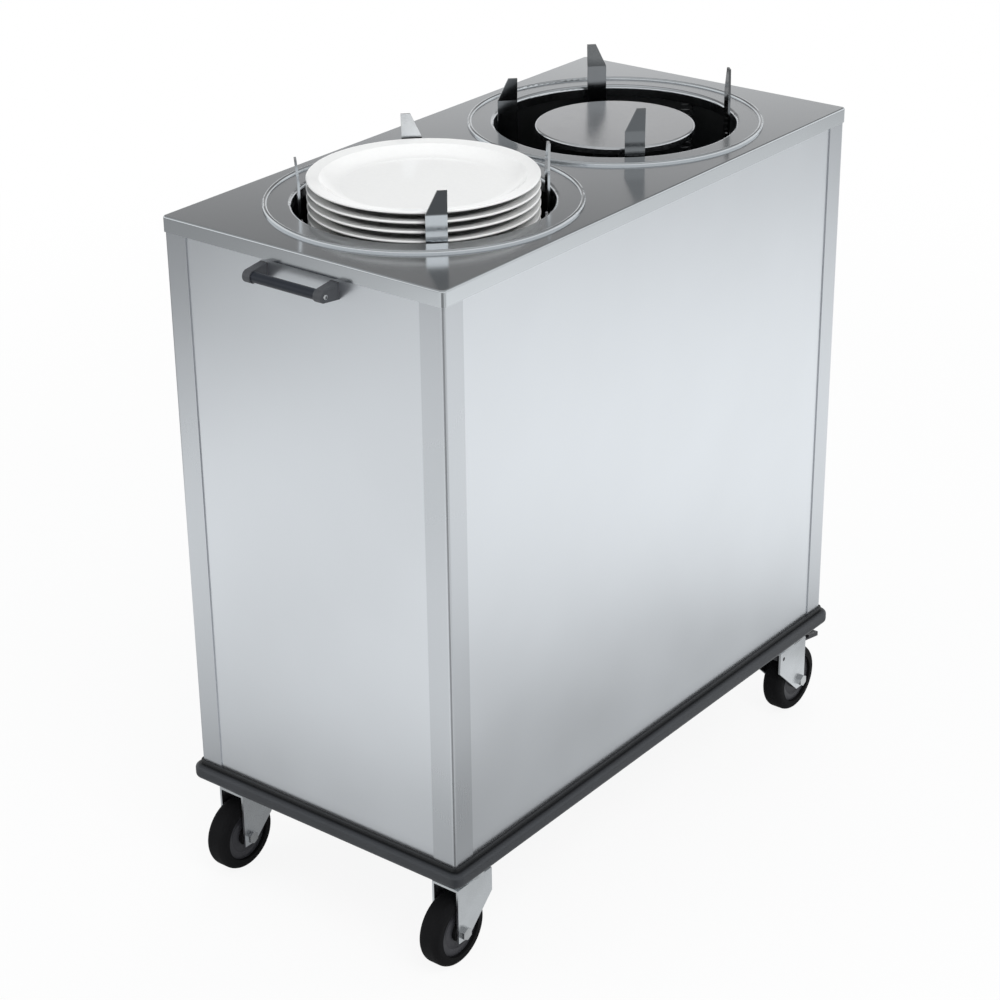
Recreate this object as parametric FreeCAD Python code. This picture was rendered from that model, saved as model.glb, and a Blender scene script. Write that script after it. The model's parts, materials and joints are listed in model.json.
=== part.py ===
import FreeCAD, Part
import math
import os

# Heated plate dispenser on casters: two self-levelling plate silos in a closed steel cabinet.
# Millimetres. X is the short width, Y the length, Z up. The origin is on the floor under the
# middle of the cabinet, and the handle is at the -Y end.

# Fits and cuts
fit_gap = 0.3            # between pieces that stand next to each other
running_gap = 0.05       # radial, shaft in hole
overrun = 2.0            # how far every cut runs past the piece it cuts

# Cabinet
panel_height = 762.0     # bumper top to deck top
caster_height = 140.0    # floor to the underside of the base frame

# Deck
deck_side_border = 21.0  # silo flange to the long edge
deck_end_border = 35.5   # silo flange to the short edge
deck_sheet = 1.5
deck_lip = 20.0
deck_corner = 6.0
deck_bend = 2.5

# Posts and panels
post_leg = 35.0
post_sheet = 1.5
panel_sheet = 1.2
panel_lap = 12.0         # how far a panel reaches behind a post
panel_fold = 10.0        # folded edge along the top and the bottom of a panel

# Base
rail_width = 40.0
rail_sheet = 2.5
rail_corner = 5.0
gusset_width = 80.0
gusset_length = 130.0
pan_sheet = 1.2
vent_length = 90.0
vent_width = 7.0
vent_pitch = 24.0
vent_count = 5

# Bumper
bumper_height = 26.0
bumper_reach = 11.0      # outside the base frame
bumper_strip = 3.5       # thickness of the strip that the round face grows from
bumper_step = 5.0        # from the strip's top down to the round face
bumper_round = 7.0
bumper_corner = 14.0

# Handle
handle_drop = 35.0       # deck top to the bar's axis
handle_stand = 24.5      # front panel to the bar's axis
handle_span = 98.0       # between the brackets
bar_radius = 6.5
bar_neck_radius = 4.5
bar_neck_length = 5.0
bracket_width = 12.0
bracket_foot_height = 22.0
bracket_nose_radius = 8.0
bracket_edge = 1.5

# Silos
mouth_radius = 161.0
flange_width = 36.0      # mouth to the flange's outer edge
flange_gap = 7.0         # between the two flanges
flange_sheet = 1.5
flange_bead_radius = 3.0
flange_roll = 4.5        # radius of the rounded mouth
flange_collar = 14.0     # the mouth's wall below the deck
can_room = 23.0          # mouth to the can's wall
can_sheet = 1.5
can_depth = 600.0
deck_hole_gap = 1.0

# Carriers
carrier_inset = 36.0     # plate edge to the carrier's edge
carrier_sheet = 2.0
carrier_rim = 9.0
carrier_roll = 3.0
carrier_sink = 4.0       # the empty carrier's top below the deck top
pedestal_radius = 30.0
pedestal_wall = 3.0
pedestal_height = 150.0
pedestal_foot_radius = 46.0
pedestal_foot_sheet = 3.0
spider_sheet = 5.0
spider_arm_width = 28.0
spider_hub_radius = 50.0
spider_room = 3.0        # can wall to the ends of the spider's arms
bush_radius = 9.0
bush_height = 26.0
rod_radius = 5.0

# Springs
wire_diameter = 2.4
coil_radius = 8.0        # axis to the middle of the wire
spring_turns = 8

# Plate guides
guide_width = 26.0
guide_sheet = 3.0
guide_rise = 62.0        # above the deck top
guide_cut_width = 14.0
guide_cut_height = 30.0
guide_flare = 5.0        # degrees, the tip's lean away from the plates
guide_inset = 9.0        # mouth to the middle of a blade
guide_swing = 90.0       # degrees, turned in for small plates
pivot_radius = 4.0
pivot_inset = 4.0        # blade edge to the pivot
pivot_top_drop = 22.0    # deck top to the pivot's top end
eye_radius = 7.5
eye_sheet = 4.0
eye_drop = 40.0          # deck top to the eye's top face
eye_room = 1.5           # round the eye in the blade's notch
eye_tab_height = 24.0
eye_arm_width = 14.0
foot_cup_height = 12.0
foot_cup_floor = 2.0

# Plates
plate_room = 7.5         # guide blade to the plate's edge
plate_well_inset = 41.0  # plate edge to the flat well
plate_foot_inset = 24.0  # well's edge to the foot ring
plate_foot_width = 6.0
plate_foot_height = 7.0
plate_thickness = 5.0
plate_height = 25.0
plate_rim_width = 16.0
plate_rim_fall = 2.0     # from the rim's edge to its inner side
plate_edge = 3.0         # thickness of the rim's edge
plate_sag = 2.5          # how far the shoulder bows from a straight slope
plate_count = 8
plate_show = 33.0        # the top rim above the deck top

# Heaters and their wiring
heater_ring_radius = 85.0
heater_tube_radius = 4.0
heater_lift = 22.0       # can floor to the tube's axis
heater_leg_spread = 24.0
heater_bend = 12.0       # from a leg into the ring
heater_foot_width = 18.0
heater_foot_sheet = 2.5
heater_foot_edge = 4.0   # round the tube
cover_radius = 26.0
cover_height = 22.0
conduit_radius = 6.0
conduit_bend = 40.0

# Controls on the rear panel
control_sheet = 2.0
control_corner = 5.0
control_lift = 58.0      # panel bottom to the control plate's bottom edge
control_lap = 11.0       # plate beyond the panel's cut-out
box_depth = 66.0
box_sheet = 1.2
knob_spacing = 84.0
knob_margin = 37.0       # rear silo's knob to the plate's edge
knob_radius = 19.0
knob_tip_radius = 15.5
knob_depth = 17.0
knob_skirt = 4.0
knob_ridge = 5.0
knob_stand = 0.6         # off the plate
knob_edge = 1.5
shaft_radius = 3.0
shaft_depth = 18.0       # behind the plate
thermostat_radius = 17.0
thermostat_depth = 30.0
lamp_radius = 5.0
lamp_flange_radius = 7.0
lamp_flange_sheet = 1.5
lamp_rise = 34.0         # above the knobs' height
lamp_margin = 22.0       # lamp to the plate's edge
lamp_dome = 5.0
lamp_depth = 22.0
switch_margin = 35.0     # switch to the plate's edge
switch_gap = 70.0        # switch to the front silo's knob
switch_lift = 12.0
rocker_radius = 11.0
rocker_width = 13.0
rocker_sink = 6.5        # plate face to the rocker's axis
rocker_tilt = 12.0       # degrees, each half of the rocker's face
rocker_pin_radius = 1.5
rocker_pin_length = 2.0
switch_wall = 3.0
switch_bezel = 3.0
switch_bezel_sheet = 1.5
switch_depth = 24.0
gland_drop = 34.0        # below the knobs' height
gland_margin = 22.0      # gland to the plate's edge
gland_bore_radius = 5.0
gland_body_radius = 9.0
gland_nut_radius = 13.0
gland_nut_depth = 6.0
gland_dome_depth = 9.0
gland_dome_radius = 7.0
gland_depth = 14.0       # behind the plate

# Casters
crown_room = 18.0        # wheel to the crown's top face
wheel_width = 32.0
tyre_round = 9.0
tyre_side = 14.0         # radial depth of the tyre
wheel_dish = 5.0         # how far the web lies in from the tyre's side
hub_radius = 14.0
hub_width = 35.0
axle_radius = 5.0
caster_inset_x = 34.0    # cabinet side to the swivel axis
caster_inset_y = 62.0    # cabinet end to the swivel axis
caster_trail = 32.0
fork_gap = 36.0          # between the legs
fork_sheet = 3.0
fork_tail = 11.0         # beyond the axle
fork_nose = 26.0         # in front of the swivel axis
fork_low = 12.0          # below the axle
fork_toe = 9.0           # flat lower end, in front of the axle
fork_shoulder = 34.0     # the front edge's upright part
race_radius = 24.0
race_height = 8.0
race_gap = 1.0           # between the race and its cap
cap_radius = 27.0
cap_height = 9.0
kingpin_radius = 5.0
kingpin_nut_radius = 9.0
kingpin_nut_height = 5.0
top_plate_width = 64.0
top_plate_length = 92.0
top_plate_sheet = 4.0
top_plate_corner = 6.0
nut_across = 15.0        # across the flats
nut_height = 6.0

# Brake pedals on the rear casters
pedal_pin_drop = 11.4    # crown's top face to the pin
pedal_pin_place = -17.0  # from the swivel axis, towards the wheel
pedal_pin_radius = 3.0
pedal_sheet = 3.0
pedal_width = 26.0
pedal_reach = 92.0       # swivel axis to the pedal's end
pedal_knee = 44.0        # swivel axis to the bend
pedal_drop = 9.0         # from the bend to the end
pedal_tread_length = 26.0
pedal_tread_sheet = 4.0
pedal_hub_radius = 6.0

# Worked out from the sizes above
bend_share = 1 - math.sqrt(1 / 2)  # how far the middle of a quarter bend lies in from its corner
body_bottom = caster_height + bumper_height
deck_top = body_bottom + panel_height
flange_radius = mouth_radius + flange_width
silo_spacing = 2 * flange_radius + flange_gap
cabinet_width = 2 * (flange_radius + deck_side_border)
cabinet_length = silo_spacing + 2 * (flange_radius + deck_end_border)
post_top = deck_top - deck_sheet
post_corner = deck_corner - deck_sheet
post_x = cabinet_width / 2 - deck_sheet - fit_gap
post_y = cabinet_length / 2 - deck_sheet - fit_gap
panel_x = post_x - post_sheet
panel_y = post_y - post_sheet
can_floor = deck_top - can_depth
can_radius = mouth_radius + can_room
can_outer = can_radius + can_sheet
spider_reach = can_radius - spider_room
rod_circle = spider_reach - bush_radius
guide_circle = mouth_radius - guide_inset
plate_radius = guide_circle - guide_sheet / 2 - plate_room
plate_well_radius = plate_radius - plate_well_inset
plate_foot_radius = plate_well_radius - plate_foot_inset
carrier_radius = plate_radius - carrier_inset
silo_y = {"front": -silo_spacing / 2, "rear": silo_spacing / 2}
stack_height = plate_height + (plate_count - 1) * (plate_foot_height + plate_thickness)
carrier_top = {
    "front": deck_top + plate_show - stack_height - fit_gap,
    "rear": deck_top - carrier_sink,
}
guide_angles = [45.0, 135.0, 225.0, 315.0]
guide_turned = {"front": [0.0, 0.0, 0.0, 0.0], "rear": [0.0, 0.0, guide_swing, 0.0]}
heater_side = {"front": -1, "rear": 1}
pan_top = caster_height + rail_sheet + pan_sheet
control_width = switch_margin + switch_gap + knob_spacing + knob_margin
control_height = gland_margin + gland_drop + lamp_rise + lamp_margin
control_middle = body_bottom + control_lift + control_height / 2
knob_rear_x = control_width / 2 - knob_margin
knob_x = {"front": knob_rear_x - knob_spacing, "rear": knob_rear_x}
knob_height = body_bottom + control_lift + gland_margin + gland_drop
switch_x = switch_margin - control_width / 2
plate_back = panel_y
plate_face = panel_y + control_sheet
box_width = control_width - 2 * control_lap - 2 * fit_gap
box_height = control_height - 2 * control_lap - 2 * fit_gap
swivel_height = top_plate_sheet + cap_height + race_gap + race_height
fork_crown = caster_height - swivel_height
wheel_radius = (fork_crown - crown_room) / 2
pedal_pin_height = fork_crown - pedal_pin_drop
caster_x = cabinet_width / 2 - caster_inset_x
caster_y = cabinet_length / 2 - caster_inset_y
caster_ends = {"front": -1, "rear": 1}
caster_sides = {"left": -1, "right": 1}

V = FreeCAD.Vector
X_AXIS = V(1, 0, 0)
Y_AXIS = V(0, 1, 0)
Z_AXIS = V(0, 0, 1)
ORIGIN = V(0, 0, 0)


def span_box(x0, x1, y0, y1, z0, z1):
    """A box between two corners."""
    return Part.makeBox(x1 - x0, y1 - y0, z1 - z0, V(x0, y0, z0))


def upright(radius, x, y, z0, z1):
    """A vertical cylinder."""
    return Part.makeCylinder(radius, z1 - z0, V(x, y, z0))


def across(radius, x0, x1, y, z):
    """A cylinder along X."""
    return Part.makeCylinder(radius, x1 - x0, V(x0, y, z), X_AXIS)


def along(radius, x, y0, y1, z):
    """A cylinder along Y."""
    return Part.makeCylinder(radius, y1 - y0, V(x, y0, z), Y_AXIS)


def polygon_prism(points, direction):
    """A straight-sided outline pushed along a direction."""
    return Part.Face(Part.makePolygon(points + [points[0]])).extrude(direction)


def turned(edges, x, y):
    """A closed profile in the XZ plane turned about a vertical axis through x, y."""
    shape = Part.Face(Part.Wire(edges)).revolve(ORIGIN, Z_AXIS, 360)
    shape.translate(V(x, y, 0))
    return shape


def profile(points):
    """Lines through (radius, height) points, closed, as edges in the XZ plane."""
    corners = [V(r, 0, z) for r, z in points]
    ends = corners[1:] + corners[:1]
    return [Part.makeLine(a, b) for a, b in zip(corners, ends)]


def arc(a, b, c):
    """An arc through three (radius, height) points in the XZ plane."""
    return Part.Arc(V(a[0], 0, a[1]), V(b[0], 0, b[1]), V(c[0], 0, c[1])).toShape()


def line(a, b):
    """A line between two (radius, height) points in the XZ plane."""
    return Part.makeLine(V(a[0], 0, a[1]), V(b[0], 0, b[1]))


def bowed(a, b, sag):
    """An arc from a up to b that sags below the straight line between them."""
    run = b[0] - a[0]
    rise = b[1] - a[1]
    chord = math.hypot(run, rise)
    middle = ((a[0] + b[0]) / 2 + sag * rise / chord, (a[1] + b[1]) / 2 - sag * run / chord)
    return arc(a, middle, b)


def upright_edges(shape):
    """The straight vertical edges of a shape."""
    found = []
    for edge in shape.Edges:
        if len(edge.Vertexes) == 2:
            a, b = (vertex.Point for vertex in edge.Vertexes)
            if (a - b).cross(Z_AXIS).Length < running_gap:
                found.append(edge)
    return found


def edges_at_height(shape, z):
    """The edges that lie wholly at one height."""
    return [e for e in shape.Edges if all(abs(v.Z - z) < running_gap for v in e.Vertexes)]


def rounded_block(width, length, radius, z0, z1):
    """A block about the Z axis with rounded upright corners."""
    block = span_box(-width / 2, width / 2, -length / 2, length / 2, z0, z1)
    return block.makeFillet(radius, upright_edges(block))


def polar(radius, degrees):
    """A point on a circle about the Z axis."""
    angle = math.radians(degrees)
    return V(radius * math.cos(angle), radius * math.sin(angle), 0)


def deck():
    """Top sheet with a folded lip and a hole for each silo."""
    low = deck_top - deck_lip
    outer = rounded_block(cabinet_width, cabinet_length, deck_corner, low, deck_top)
    outer = outer.makeFillet(deck_bend, edges_at_height(outer, deck_top))
    inner_width = cabinet_width - 2 * deck_sheet
    inner_length = cabinet_length - 2 * deck_sheet
    inner_corner = deck_corner - deck_sheet
    sheet = outer.cut(rounded_block(inner_width, inner_length, inner_corner, low - overrun, post_top))
    for y in silo_y.values():
        sheet = sheet.cut(upright(can_outer + deck_hole_gap, 0, y, low, deck_top + overrun))
    return sheet


def corner_posts():
    """Four angle posts with a rounded outer corner."""
    outer = rounded_block(2 * post_x, 2 * post_y, post_corner, body_bottom, post_top)
    inner_corner = post_corner - post_sheet
    low = body_bottom - overrun
    high = post_top + overrun
    walls = outer.cut(rounded_block(2 * panel_x, 2 * panel_y, inner_corner, low, high))
    corner = span_box(post_x - post_leg, post_x, post_y - post_leg, post_y, body_bottom, post_top)
    post = walls.common(corner)
    twin = post.mirror(ORIGIN, X_AXIS)
    pair = [post, twin]
    return Part.makeCompound(pair + [p.mirror(ORIGIN, Y_AXIS) for p in pair])


def folded_panel(span, turn, x, y):
    """A flat sheet with its top and bottom edges folded inwards."""
    height = post_top - body_bottom
    section = [
        V(-span / 2, 0, 0),
        V(-span / 2, panel_fold, 0),
        V(-span / 2, panel_fold, panel_sheet),
        V(-span / 2, panel_sheet, panel_sheet),
        V(-span / 2, panel_sheet, height - panel_sheet),
        V(-span / 2, panel_fold, height - panel_sheet),
        V(-span / 2, panel_fold, height),
        V(-span / 2, 0, height),
    ]
    sheet = polygon_prism(section, V(span, 0, 0))
    sheet.rotate(ORIGIN, Z_AXIS, turn)
    sheet.translate(V(x, y, body_bottom))
    return sheet


def rear_panel(span):
    """The rear panel, cut out behind the control plate."""
    sheet = folded_panel(span, 180, 0, panel_y)
    half_width = control_width / 2 - control_lap
    half_height = control_height / 2 - control_lap
    low = control_middle - half_height
    high = control_middle + half_height
    back = panel_y - panel_fold - overrun
    return sheet.cut(span_box(-half_width, half_width, back, panel_y + overrun, low, high))


def base_frame():
    """Channel rails round the base, open inwards, with corner gussets for the casters."""
    width = 2 * post_x
    length = 2 * post_y
    low = caster_height
    frame = rounded_block(width, length, rail_corner, low, body_bottom)
    half_x = post_x - rail_width
    half_y = post_y - rail_width
    frame = frame.cut(span_box(-half_x, half_x, -half_y, half_y, low - overrun, body_bottom + overrun))
    cavity_x = post_x - rail_sheet
    cavity_y = post_y - rail_sheet
    cavity_top = body_bottom - rail_sheet
    frame = frame.cut(span_box(-cavity_x, cavity_x, -cavity_y, cavity_y, low + rail_sheet, cavity_top))
    for sx in caster_sides.values():
        for sy in caster_ends.values():
            xs = sorted([sx * (post_x - rail_corner), sx * (post_x - gusset_width)])
            ys = sorted([sy * (post_y - rail_corner), sy * (post_y - gusset_length)])
            frame = frame.fuse(span_box(xs[0], xs[1], ys[0], ys[1], low, low + rail_sheet))
    return frame.removeSplitter()


def base_pan():
    """Floor sheet on the rails' lower flange, with rows of vents."""
    half_x = post_x - rail_sheet - fit_gap
    half_y = post_y - rail_sheet - fit_gap
    low = pan_top - pan_sheet
    sheet = span_box(-half_x, half_x, -half_y, half_y, low, pan_top)
    first = -vent_pitch * (vent_count - 1) / 2
    for y in silo_y.values():
        for i in range(vent_count):
            middle = y + first + i * vent_pitch
            slot = span_box(
                -vent_length / 2, vent_length / 2,
                middle - vent_width / 2, middle + vent_width / 2,
                low - overrun, pan_top + overrun)
            sheet = sheet.cut(slot)
    return sheet


def bumper():
    """Soft wrap-round bumper: a flat strip with a round face that stops short of its top."""
    low = caster_height
    round_top = body_bottom - bumper_step
    strip = rounded_block(
        2 * (post_x + bumper_strip), 2 * (post_y + bumper_strip),
        rail_corner + bumper_strip, low, body_bottom)
    face = rounded_block(
        2 * (post_x + bumper_reach), 2 * (post_y + bumper_reach), bumper_corner, low, round_top)
    rims = edges_at_height(face, low) + edges_at_height(face, round_top)
    face = face.makeFillet(bumper_round, rims)
    inside = rounded_block(
        2 * (post_x + fit_gap), 2 * (post_y + fit_gap), rail_corner + fit_gap,
        low - overrun, body_bottom + overrun)
    return strip.fuse(face).cut(inside).removeSplitter()


def handle_bar():
    """Straight grip with a thinner neck in each bracket."""
    y = -panel_y - handle_stand
    z = deck_top - handle_drop
    half = handle_span / 2
    bar = across(bar_radius, -half, half, y, z)
    return bar.fuse(across(bar_neck_radius, -half - bar_neck_length, half + bar_neck_length, y, z))


def handle_brackets():
    """Two end brackets: a tall foot on the panel, tapering to a round nose that takes the bar."""
    y = -panel_y - handle_stand
    z = deck_top - handle_drop
    inner = handle_span / 2 + fit_gap
    half = bracket_foot_height / 2
    outline = [
        V(inner, -panel_y, z - half),
        V(inner, -panel_y, z + half),
        V(inner, y, z + bracket_nose_radius),
        V(inner, y, z - bracket_nose_radius),
    ]
    bracket = polygon_prism(outline, V(bracket_width, 0, 0))
    outer = inner + bracket_width
    bracket = bracket.fuse(across(bracket_nose_radius, inner, outer, y, z)).removeSplitter()
    rim = [e for e in bracket.Edges if all(abs(v.X - outer) < running_gap for v in e.Vertexes)]
    rim = [e for e in rim if any(v.Y < -panel_y - running_gap for v in e.Vertexes)]
    bracket = bracket.makeFillet(bracket_edge, rim)
    socket_depth = bar_neck_length + fit_gap
    socket = across(bar_neck_radius + running_gap, inner - overrun, inner + socket_depth, y, z)
    bracket = bracket.cut(socket)
    return Part.makeCompound([bracket, bracket.mirror(ORIGIN, X_AXIS)])


def silo_flange(y):
    """Ring round a silo's mouth: rounded mouth wall, flat ring and a raised bead at its edge."""
    top = deck_top + flange_sheet
    low = deck_top - flange_collar
    wall = mouth_radius + flange_sheet
    roll = flange_roll
    mouth_bend = (mouth_radius + roll * bend_share, top - roll * bend_share)
    bead_inner = flange_radius - 2 * flange_bead_radius
    bead_middle = flange_radius - flange_bead_radius
    edges = [
        line((mouth_radius, low), (mouth_radius, top - roll)),
        arc((mouth_radius, top - roll), mouth_bend, (mouth_radius + roll, top)),
        line((mouth_radius + roll, top), (bead_inner, top)),
        arc((bead_inner, top), (bead_middle, top + flange_bead_radius), (flange_radius, top)),
        line((flange_radius, top), (flange_radius, deck_top)),
        line((flange_radius, deck_top), (wall + roll, deck_top)),
        line((wall + roll, deck_top), (wall, deck_top - roll)),
        line((wall, deck_top - roll), (wall, low)),
        line((wall, low), (mouth_radius, low)),
    ]
    return turned(edges, 0, y)


def heater_leg():
    """Where a heater's leg stands, from its ring's axis, with the legs on the +X side."""
    reach = math.hypot(heater_ring_radius, heater_bend)
    return V(math.sqrt(reach ** 2 - (heater_leg_spread / 2) ** 2), heater_leg_spread / 2, 0)


def heater_legs(silo):
    """Where the heater's two legs pass the can's floor."""
    leg = heater_leg()
    x = heater_side[silo] * leg.x
    return [V(x, silo_y[silo] - leg.y, 0), V(x, silo_y[silo] + leg.y, 0)]


def silo_can(silo):
    """Round can that hangs under the flange, with two holes for the heater's legs."""
    low = can_floor - can_sheet
    points = [
        (0, low),
        (can_outer, low),
        (can_outer, deck_top),
        (can_radius, deck_top),
        (can_radius, can_floor),
        (0, can_floor),
    ]
    can = turned(profile(points), 0, silo_y[silo])
    for p in heater_legs(silo):
        can = can.cut(upright(heater_tube_radius + running_gap, p.x, p.y, low - overrun, can_floor + overrun))
    return can


def carrier_plate(silo):
    """Round plate with a turned-down rim, on a tubular pedestal with a foot flange."""
    top = carrier_top[silo]
    under = top - carrier_sheet
    foot = under - pedestal_height
    r = carrier_radius
    roll = carrier_roll
    rim_bend = (r - roll * bend_share, top - roll * bend_share)
    bore = pedestal_radius - pedestal_wall
    foot_top = foot + pedestal_foot_sheet
    edges = [
        line((0, top), (r - roll, top)),
        arc((r - roll, top), rim_bend, (r, top - roll)),
        line((r, top - roll), (r, top - carrier_rim)),
        line((r, top - carrier_rim), (r - carrier_sheet, top - carrier_rim)),
        line((r - carrier_sheet, top - carrier_rim), (r - carrier_sheet, under)),
        line((r - carrier_sheet, under), (pedestal_radius, under)),
        line((pedestal_radius, under), (pedestal_radius, foot_top)),
        line((pedestal_radius, foot_top), (pedestal_foot_radius, foot_top)),
        line((pedestal_foot_radius, foot_top), (pedestal_foot_radius, foot)),
        line((pedestal_foot_radius, foot), (bore, foot)),
        line((bore, foot), (bore, under)),
        line((bore, under), (0, under)),
        line((0, under), (0, top)),
    ]
    return turned(edges, 0, silo_y[silo])


def spider_top(silo):
    """Height of the spider's upper face, under the pedestal's foot."""
    return carrier_top[silo] - carrier_sheet - pedestal_height


def carrier_spider(silo):
    """Hub and four arms: two end in a bush on a slide rod, two hang on the springs."""
    top = spider_top(silo)
    low = top - spider_sheet
    y = silo_y[silo]
    spider = upright(spider_hub_radius, 0, 0, low, top)
    half = spider_arm_width / 2
    spider = spider.fuse(span_box(-rod_circle, rod_circle, -half, half, low, top))
    spider = spider.fuse(span_box(-half, half, -rod_circle, rod_circle, low, top))
    for end in (-rod_circle, rod_circle):
        spider = spider.fuse(upright(bush_radius, 0, end, low, top))
    bush_low = top - bush_height
    bore = rod_radius + running_gap
    for x in (-rod_circle, rod_circle):
        spider = spider.fuse(upright(bush_radius, x, 0, bush_low, top))
        spider = spider.cut(upright(bore, x, 0, bush_low - overrun, top + overrun))
    spider.translate(V(0, y, 0))
    return spider.removeSplitter()


def slide_rods():
    """Two upright rods in each can, from its floor to the flange."""
    rods = []
    for y in silo_y.values():
        for x in (-rod_circle, rod_circle):
            rods.append(upright(rod_radius, x, y, can_floor, deck_top))
    return Part.makeCompound(rods)


def biarc(p0, t0, p1, t1):
    """Two arcs that join two points with given unit tangents."""
    v = p1 - p0
    t = t0 + t1
    k = 2 * (1 - t0.dot(t1))
    d = (-v.dot(t) + math.sqrt(v.dot(t) ** 2 + k * v.dot(v))) / k
    q0 = p0 + t0 * d
    q1 = p1 - t1 * d
    middle = (q0 + q1) / 2
    edges = []
    for a, q, b in ((p0, q0, middle), (middle, q1, p1)):
        m = (a + b) / 2
        chord = (b - a).Length / 2
        rise = (q - m).Length
        sag = chord * ((q - a).Length - chord) / rise
        edges.append(Part.Arc(a, m + (q - m) * (sag / rise), b).toShape())
    return edges


def spring(x, y, low, high):
    """An extension spring about a vertical axis, its wire straight up and down at both ends."""
    stub = wire_diameter
    lead = coil_radius
    start = low + stub
    end = high - stub
    slope = (end - start - 2 * lead) / (2 * math.pi * (spring_turns - 1 / 2))
    run = math.hypot(coil_radius, slope)

    def coil_point(turn):
        angle = 2 * math.pi * turn
        z = start + lead + slope * (angle - math.pi / 2)
        return V(x + coil_radius * math.cos(angle), y + coil_radius * math.sin(angle), z)

    def coil_tangent(turn):
        angle = 2 * math.pi * turn
        return V(-coil_radius * math.sin(angle), coil_radius * math.cos(angle), slope) / run

    quarters = [i / 4 for i in range(1, 4 * spring_turns)]
    points = [V(x + coil_radius, y, start)]
    points += [coil_point(q) for q in quarters]
    points += [V(x + coil_radius, y, end)]
    tangents = [Z_AXIS] + [coil_tangent(q) for q in quarters] + [Z_AXIS]
    edges = [Part.makeLine(V(x + coil_radius, y, low), points[0])]
    for i in range(len(points) - 1):
        edges += biarc(points[i], tangents[i], points[i + 1], tangents[i + 1])
    edges.append(Part.makeLine(points[-1], V(x + coil_radius, y, high)))
    path = Part.Wire(edges)
    ring = Part.Wire(Part.makeCircle(wire_diameter / 2, V(x + coil_radius, y, low), Z_AXIS))
    tube = path.makePipeShell([ring], True, False)
    section = math.pi * wire_diameter ** 2 / 4
    print("spring volume over section times length:", round(tube.Volume / (section * path.Length), 4))
    print("spring least gap to itself:", round(least_gap(edges), 2))
    return tube


def least_gap(edges):
    """Least clear distance between stretches of wire a half turn, which is four arcs, or more apart."""
    half_turn_arcs = 4
    spans = []
    for edge in edges:
        middle = (edge.FirstParameter + edge.LastParameter) / 2
        spans.append([edge.valueAt(edge.FirstParameter), edge.valueAt(middle)])
    gaps = []
    for i in range(len(spans)):
        for j in range(i + half_turn_arcs, len(spans)):
            gaps += [(a - b).Length for a in spans[i] for b in spans[j]]
    return min(gaps) - wire_diameter


def carrier_springs(silo):
    """Two springs, hung from the flange and fixed to the ends of the spider's arms."""
    y = silo_y[silo]
    places = [y - rod_circle, y + rod_circle]
    return Part.makeCompound([spring(0, p, spider_top(silo), deck_top) for p in places])


def guide_pivot(silo, angle):
    """The upright axis that a plate guide swings about, at the cut edge of its blade."""
    outward = polar(1, angle)
    sideways = polar(1, angle + 90)
    place = outward * guide_circle - sideways * (guide_width / 2 - pivot_inset)
    return V(place.x, place.y + silo_y[silo], 0)


def plate_guide(silo, number):
    """A blade whose tip has one corner cut and leans outwards, on a rod in an eye and a foot cup."""
    x0 = -pivot_inset
    half = guide_sheet / 2
    low = can_floor + foot_cup_height + eye_sheet
    top = deck_top + guide_rise
    bend = top - guide_cut_height
    flare = math.radians(guide_flare)
    tip_inner = half - guide_cut_height * math.tan(flare)
    tip_outer = tip_inner - guide_sheet / math.cos(flare)
    section = [
        V(x0, half, low),
        V(x0, half, bend),
        V(x0, tip_inner, top),
        V(x0, tip_outer, top),
        V(x0, -half, bend - guide_sheet * math.tan(flare / 2)),
        V(x0, -half, low),
    ]
    blade = polygon_prism(section, V(guide_width, 0, 0))
    near = tip_outer - overrun
    corner = [
        V(x0, near, bend),
        V(x0 + guide_cut_width, near, top),
        V(x0 + guide_cut_width, near, top + overrun),
        V(x0 - overrun, near, top + overrun),
        V(x0 - overrun, near, bend),
    ]
    blade = blade.cut(polygon_prism(corner, V(0, half + overrun - near, 0)))
    eye_top = deck_top - eye_drop
    notch = upright(eye_radius + eye_room, 0, 0, eye_top - eye_sheet - eye_room, eye_top + eye_room)
    blade = blade.cut(notch)
    rod = upright(pivot_radius, 0, 0, can_floor + foot_cup_floor + fit_gap, deck_top - pivot_top_drop)
    guide = blade.fuse(rod)
    angle = guide_angles[number]
    guide.rotate(ORIGIN, Z_AXIS, angle + 90 + guide_turned[silo][number])
    guide.translate(guide_pivot(silo, angle))
    return guide


def guide_brackets():
    """An eye on the can's wall and a cup on its floor for each plate guide."""
    pieces = []
    eye_top = deck_top - eye_drop
    eye_low = eye_top - eye_sheet
    for silo, y in silo_y.items():
        for angle in guide_angles:
            place = guide_pivot(silo, angle)
            out = V(place.x, place.y - y, 0)
            half = eye_arm_width / 2
            wall = math.sqrt((can_radius - fit_gap) ** 2 - half ** 2) - out.Length
            eye = upright(eye_radius, 0, 0, eye_low, eye_top)
            eye = eye.fuse(span_box(0, wall, -half, half, eye_low, eye_top))
            eye = eye.fuse(span_box(wall - eye_sheet, wall, -half, half, eye_low, eye_low + eye_tab_height))
            eye = eye.cut(upright(pivot_radius + running_gap, 0, 0, eye_low - overrun, eye_top + overrun))
            eye.rotate(ORIGIN, Z_AXIS, math.degrees(math.atan2(out.y, out.x)))
            eye.translate(place)
            cup = upright(eye_radius, place.x, place.y, can_floor, can_floor + foot_cup_height)
            bore = upright(
                pivot_radius + running_gap, place.x, place.y,
                can_floor + foot_cup_floor, can_floor + foot_cup_height + overrun)
            pieces += [eye.removeSplitter(), cup.cut(bore)]
    return Part.makeCompound(pieces)


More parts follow.
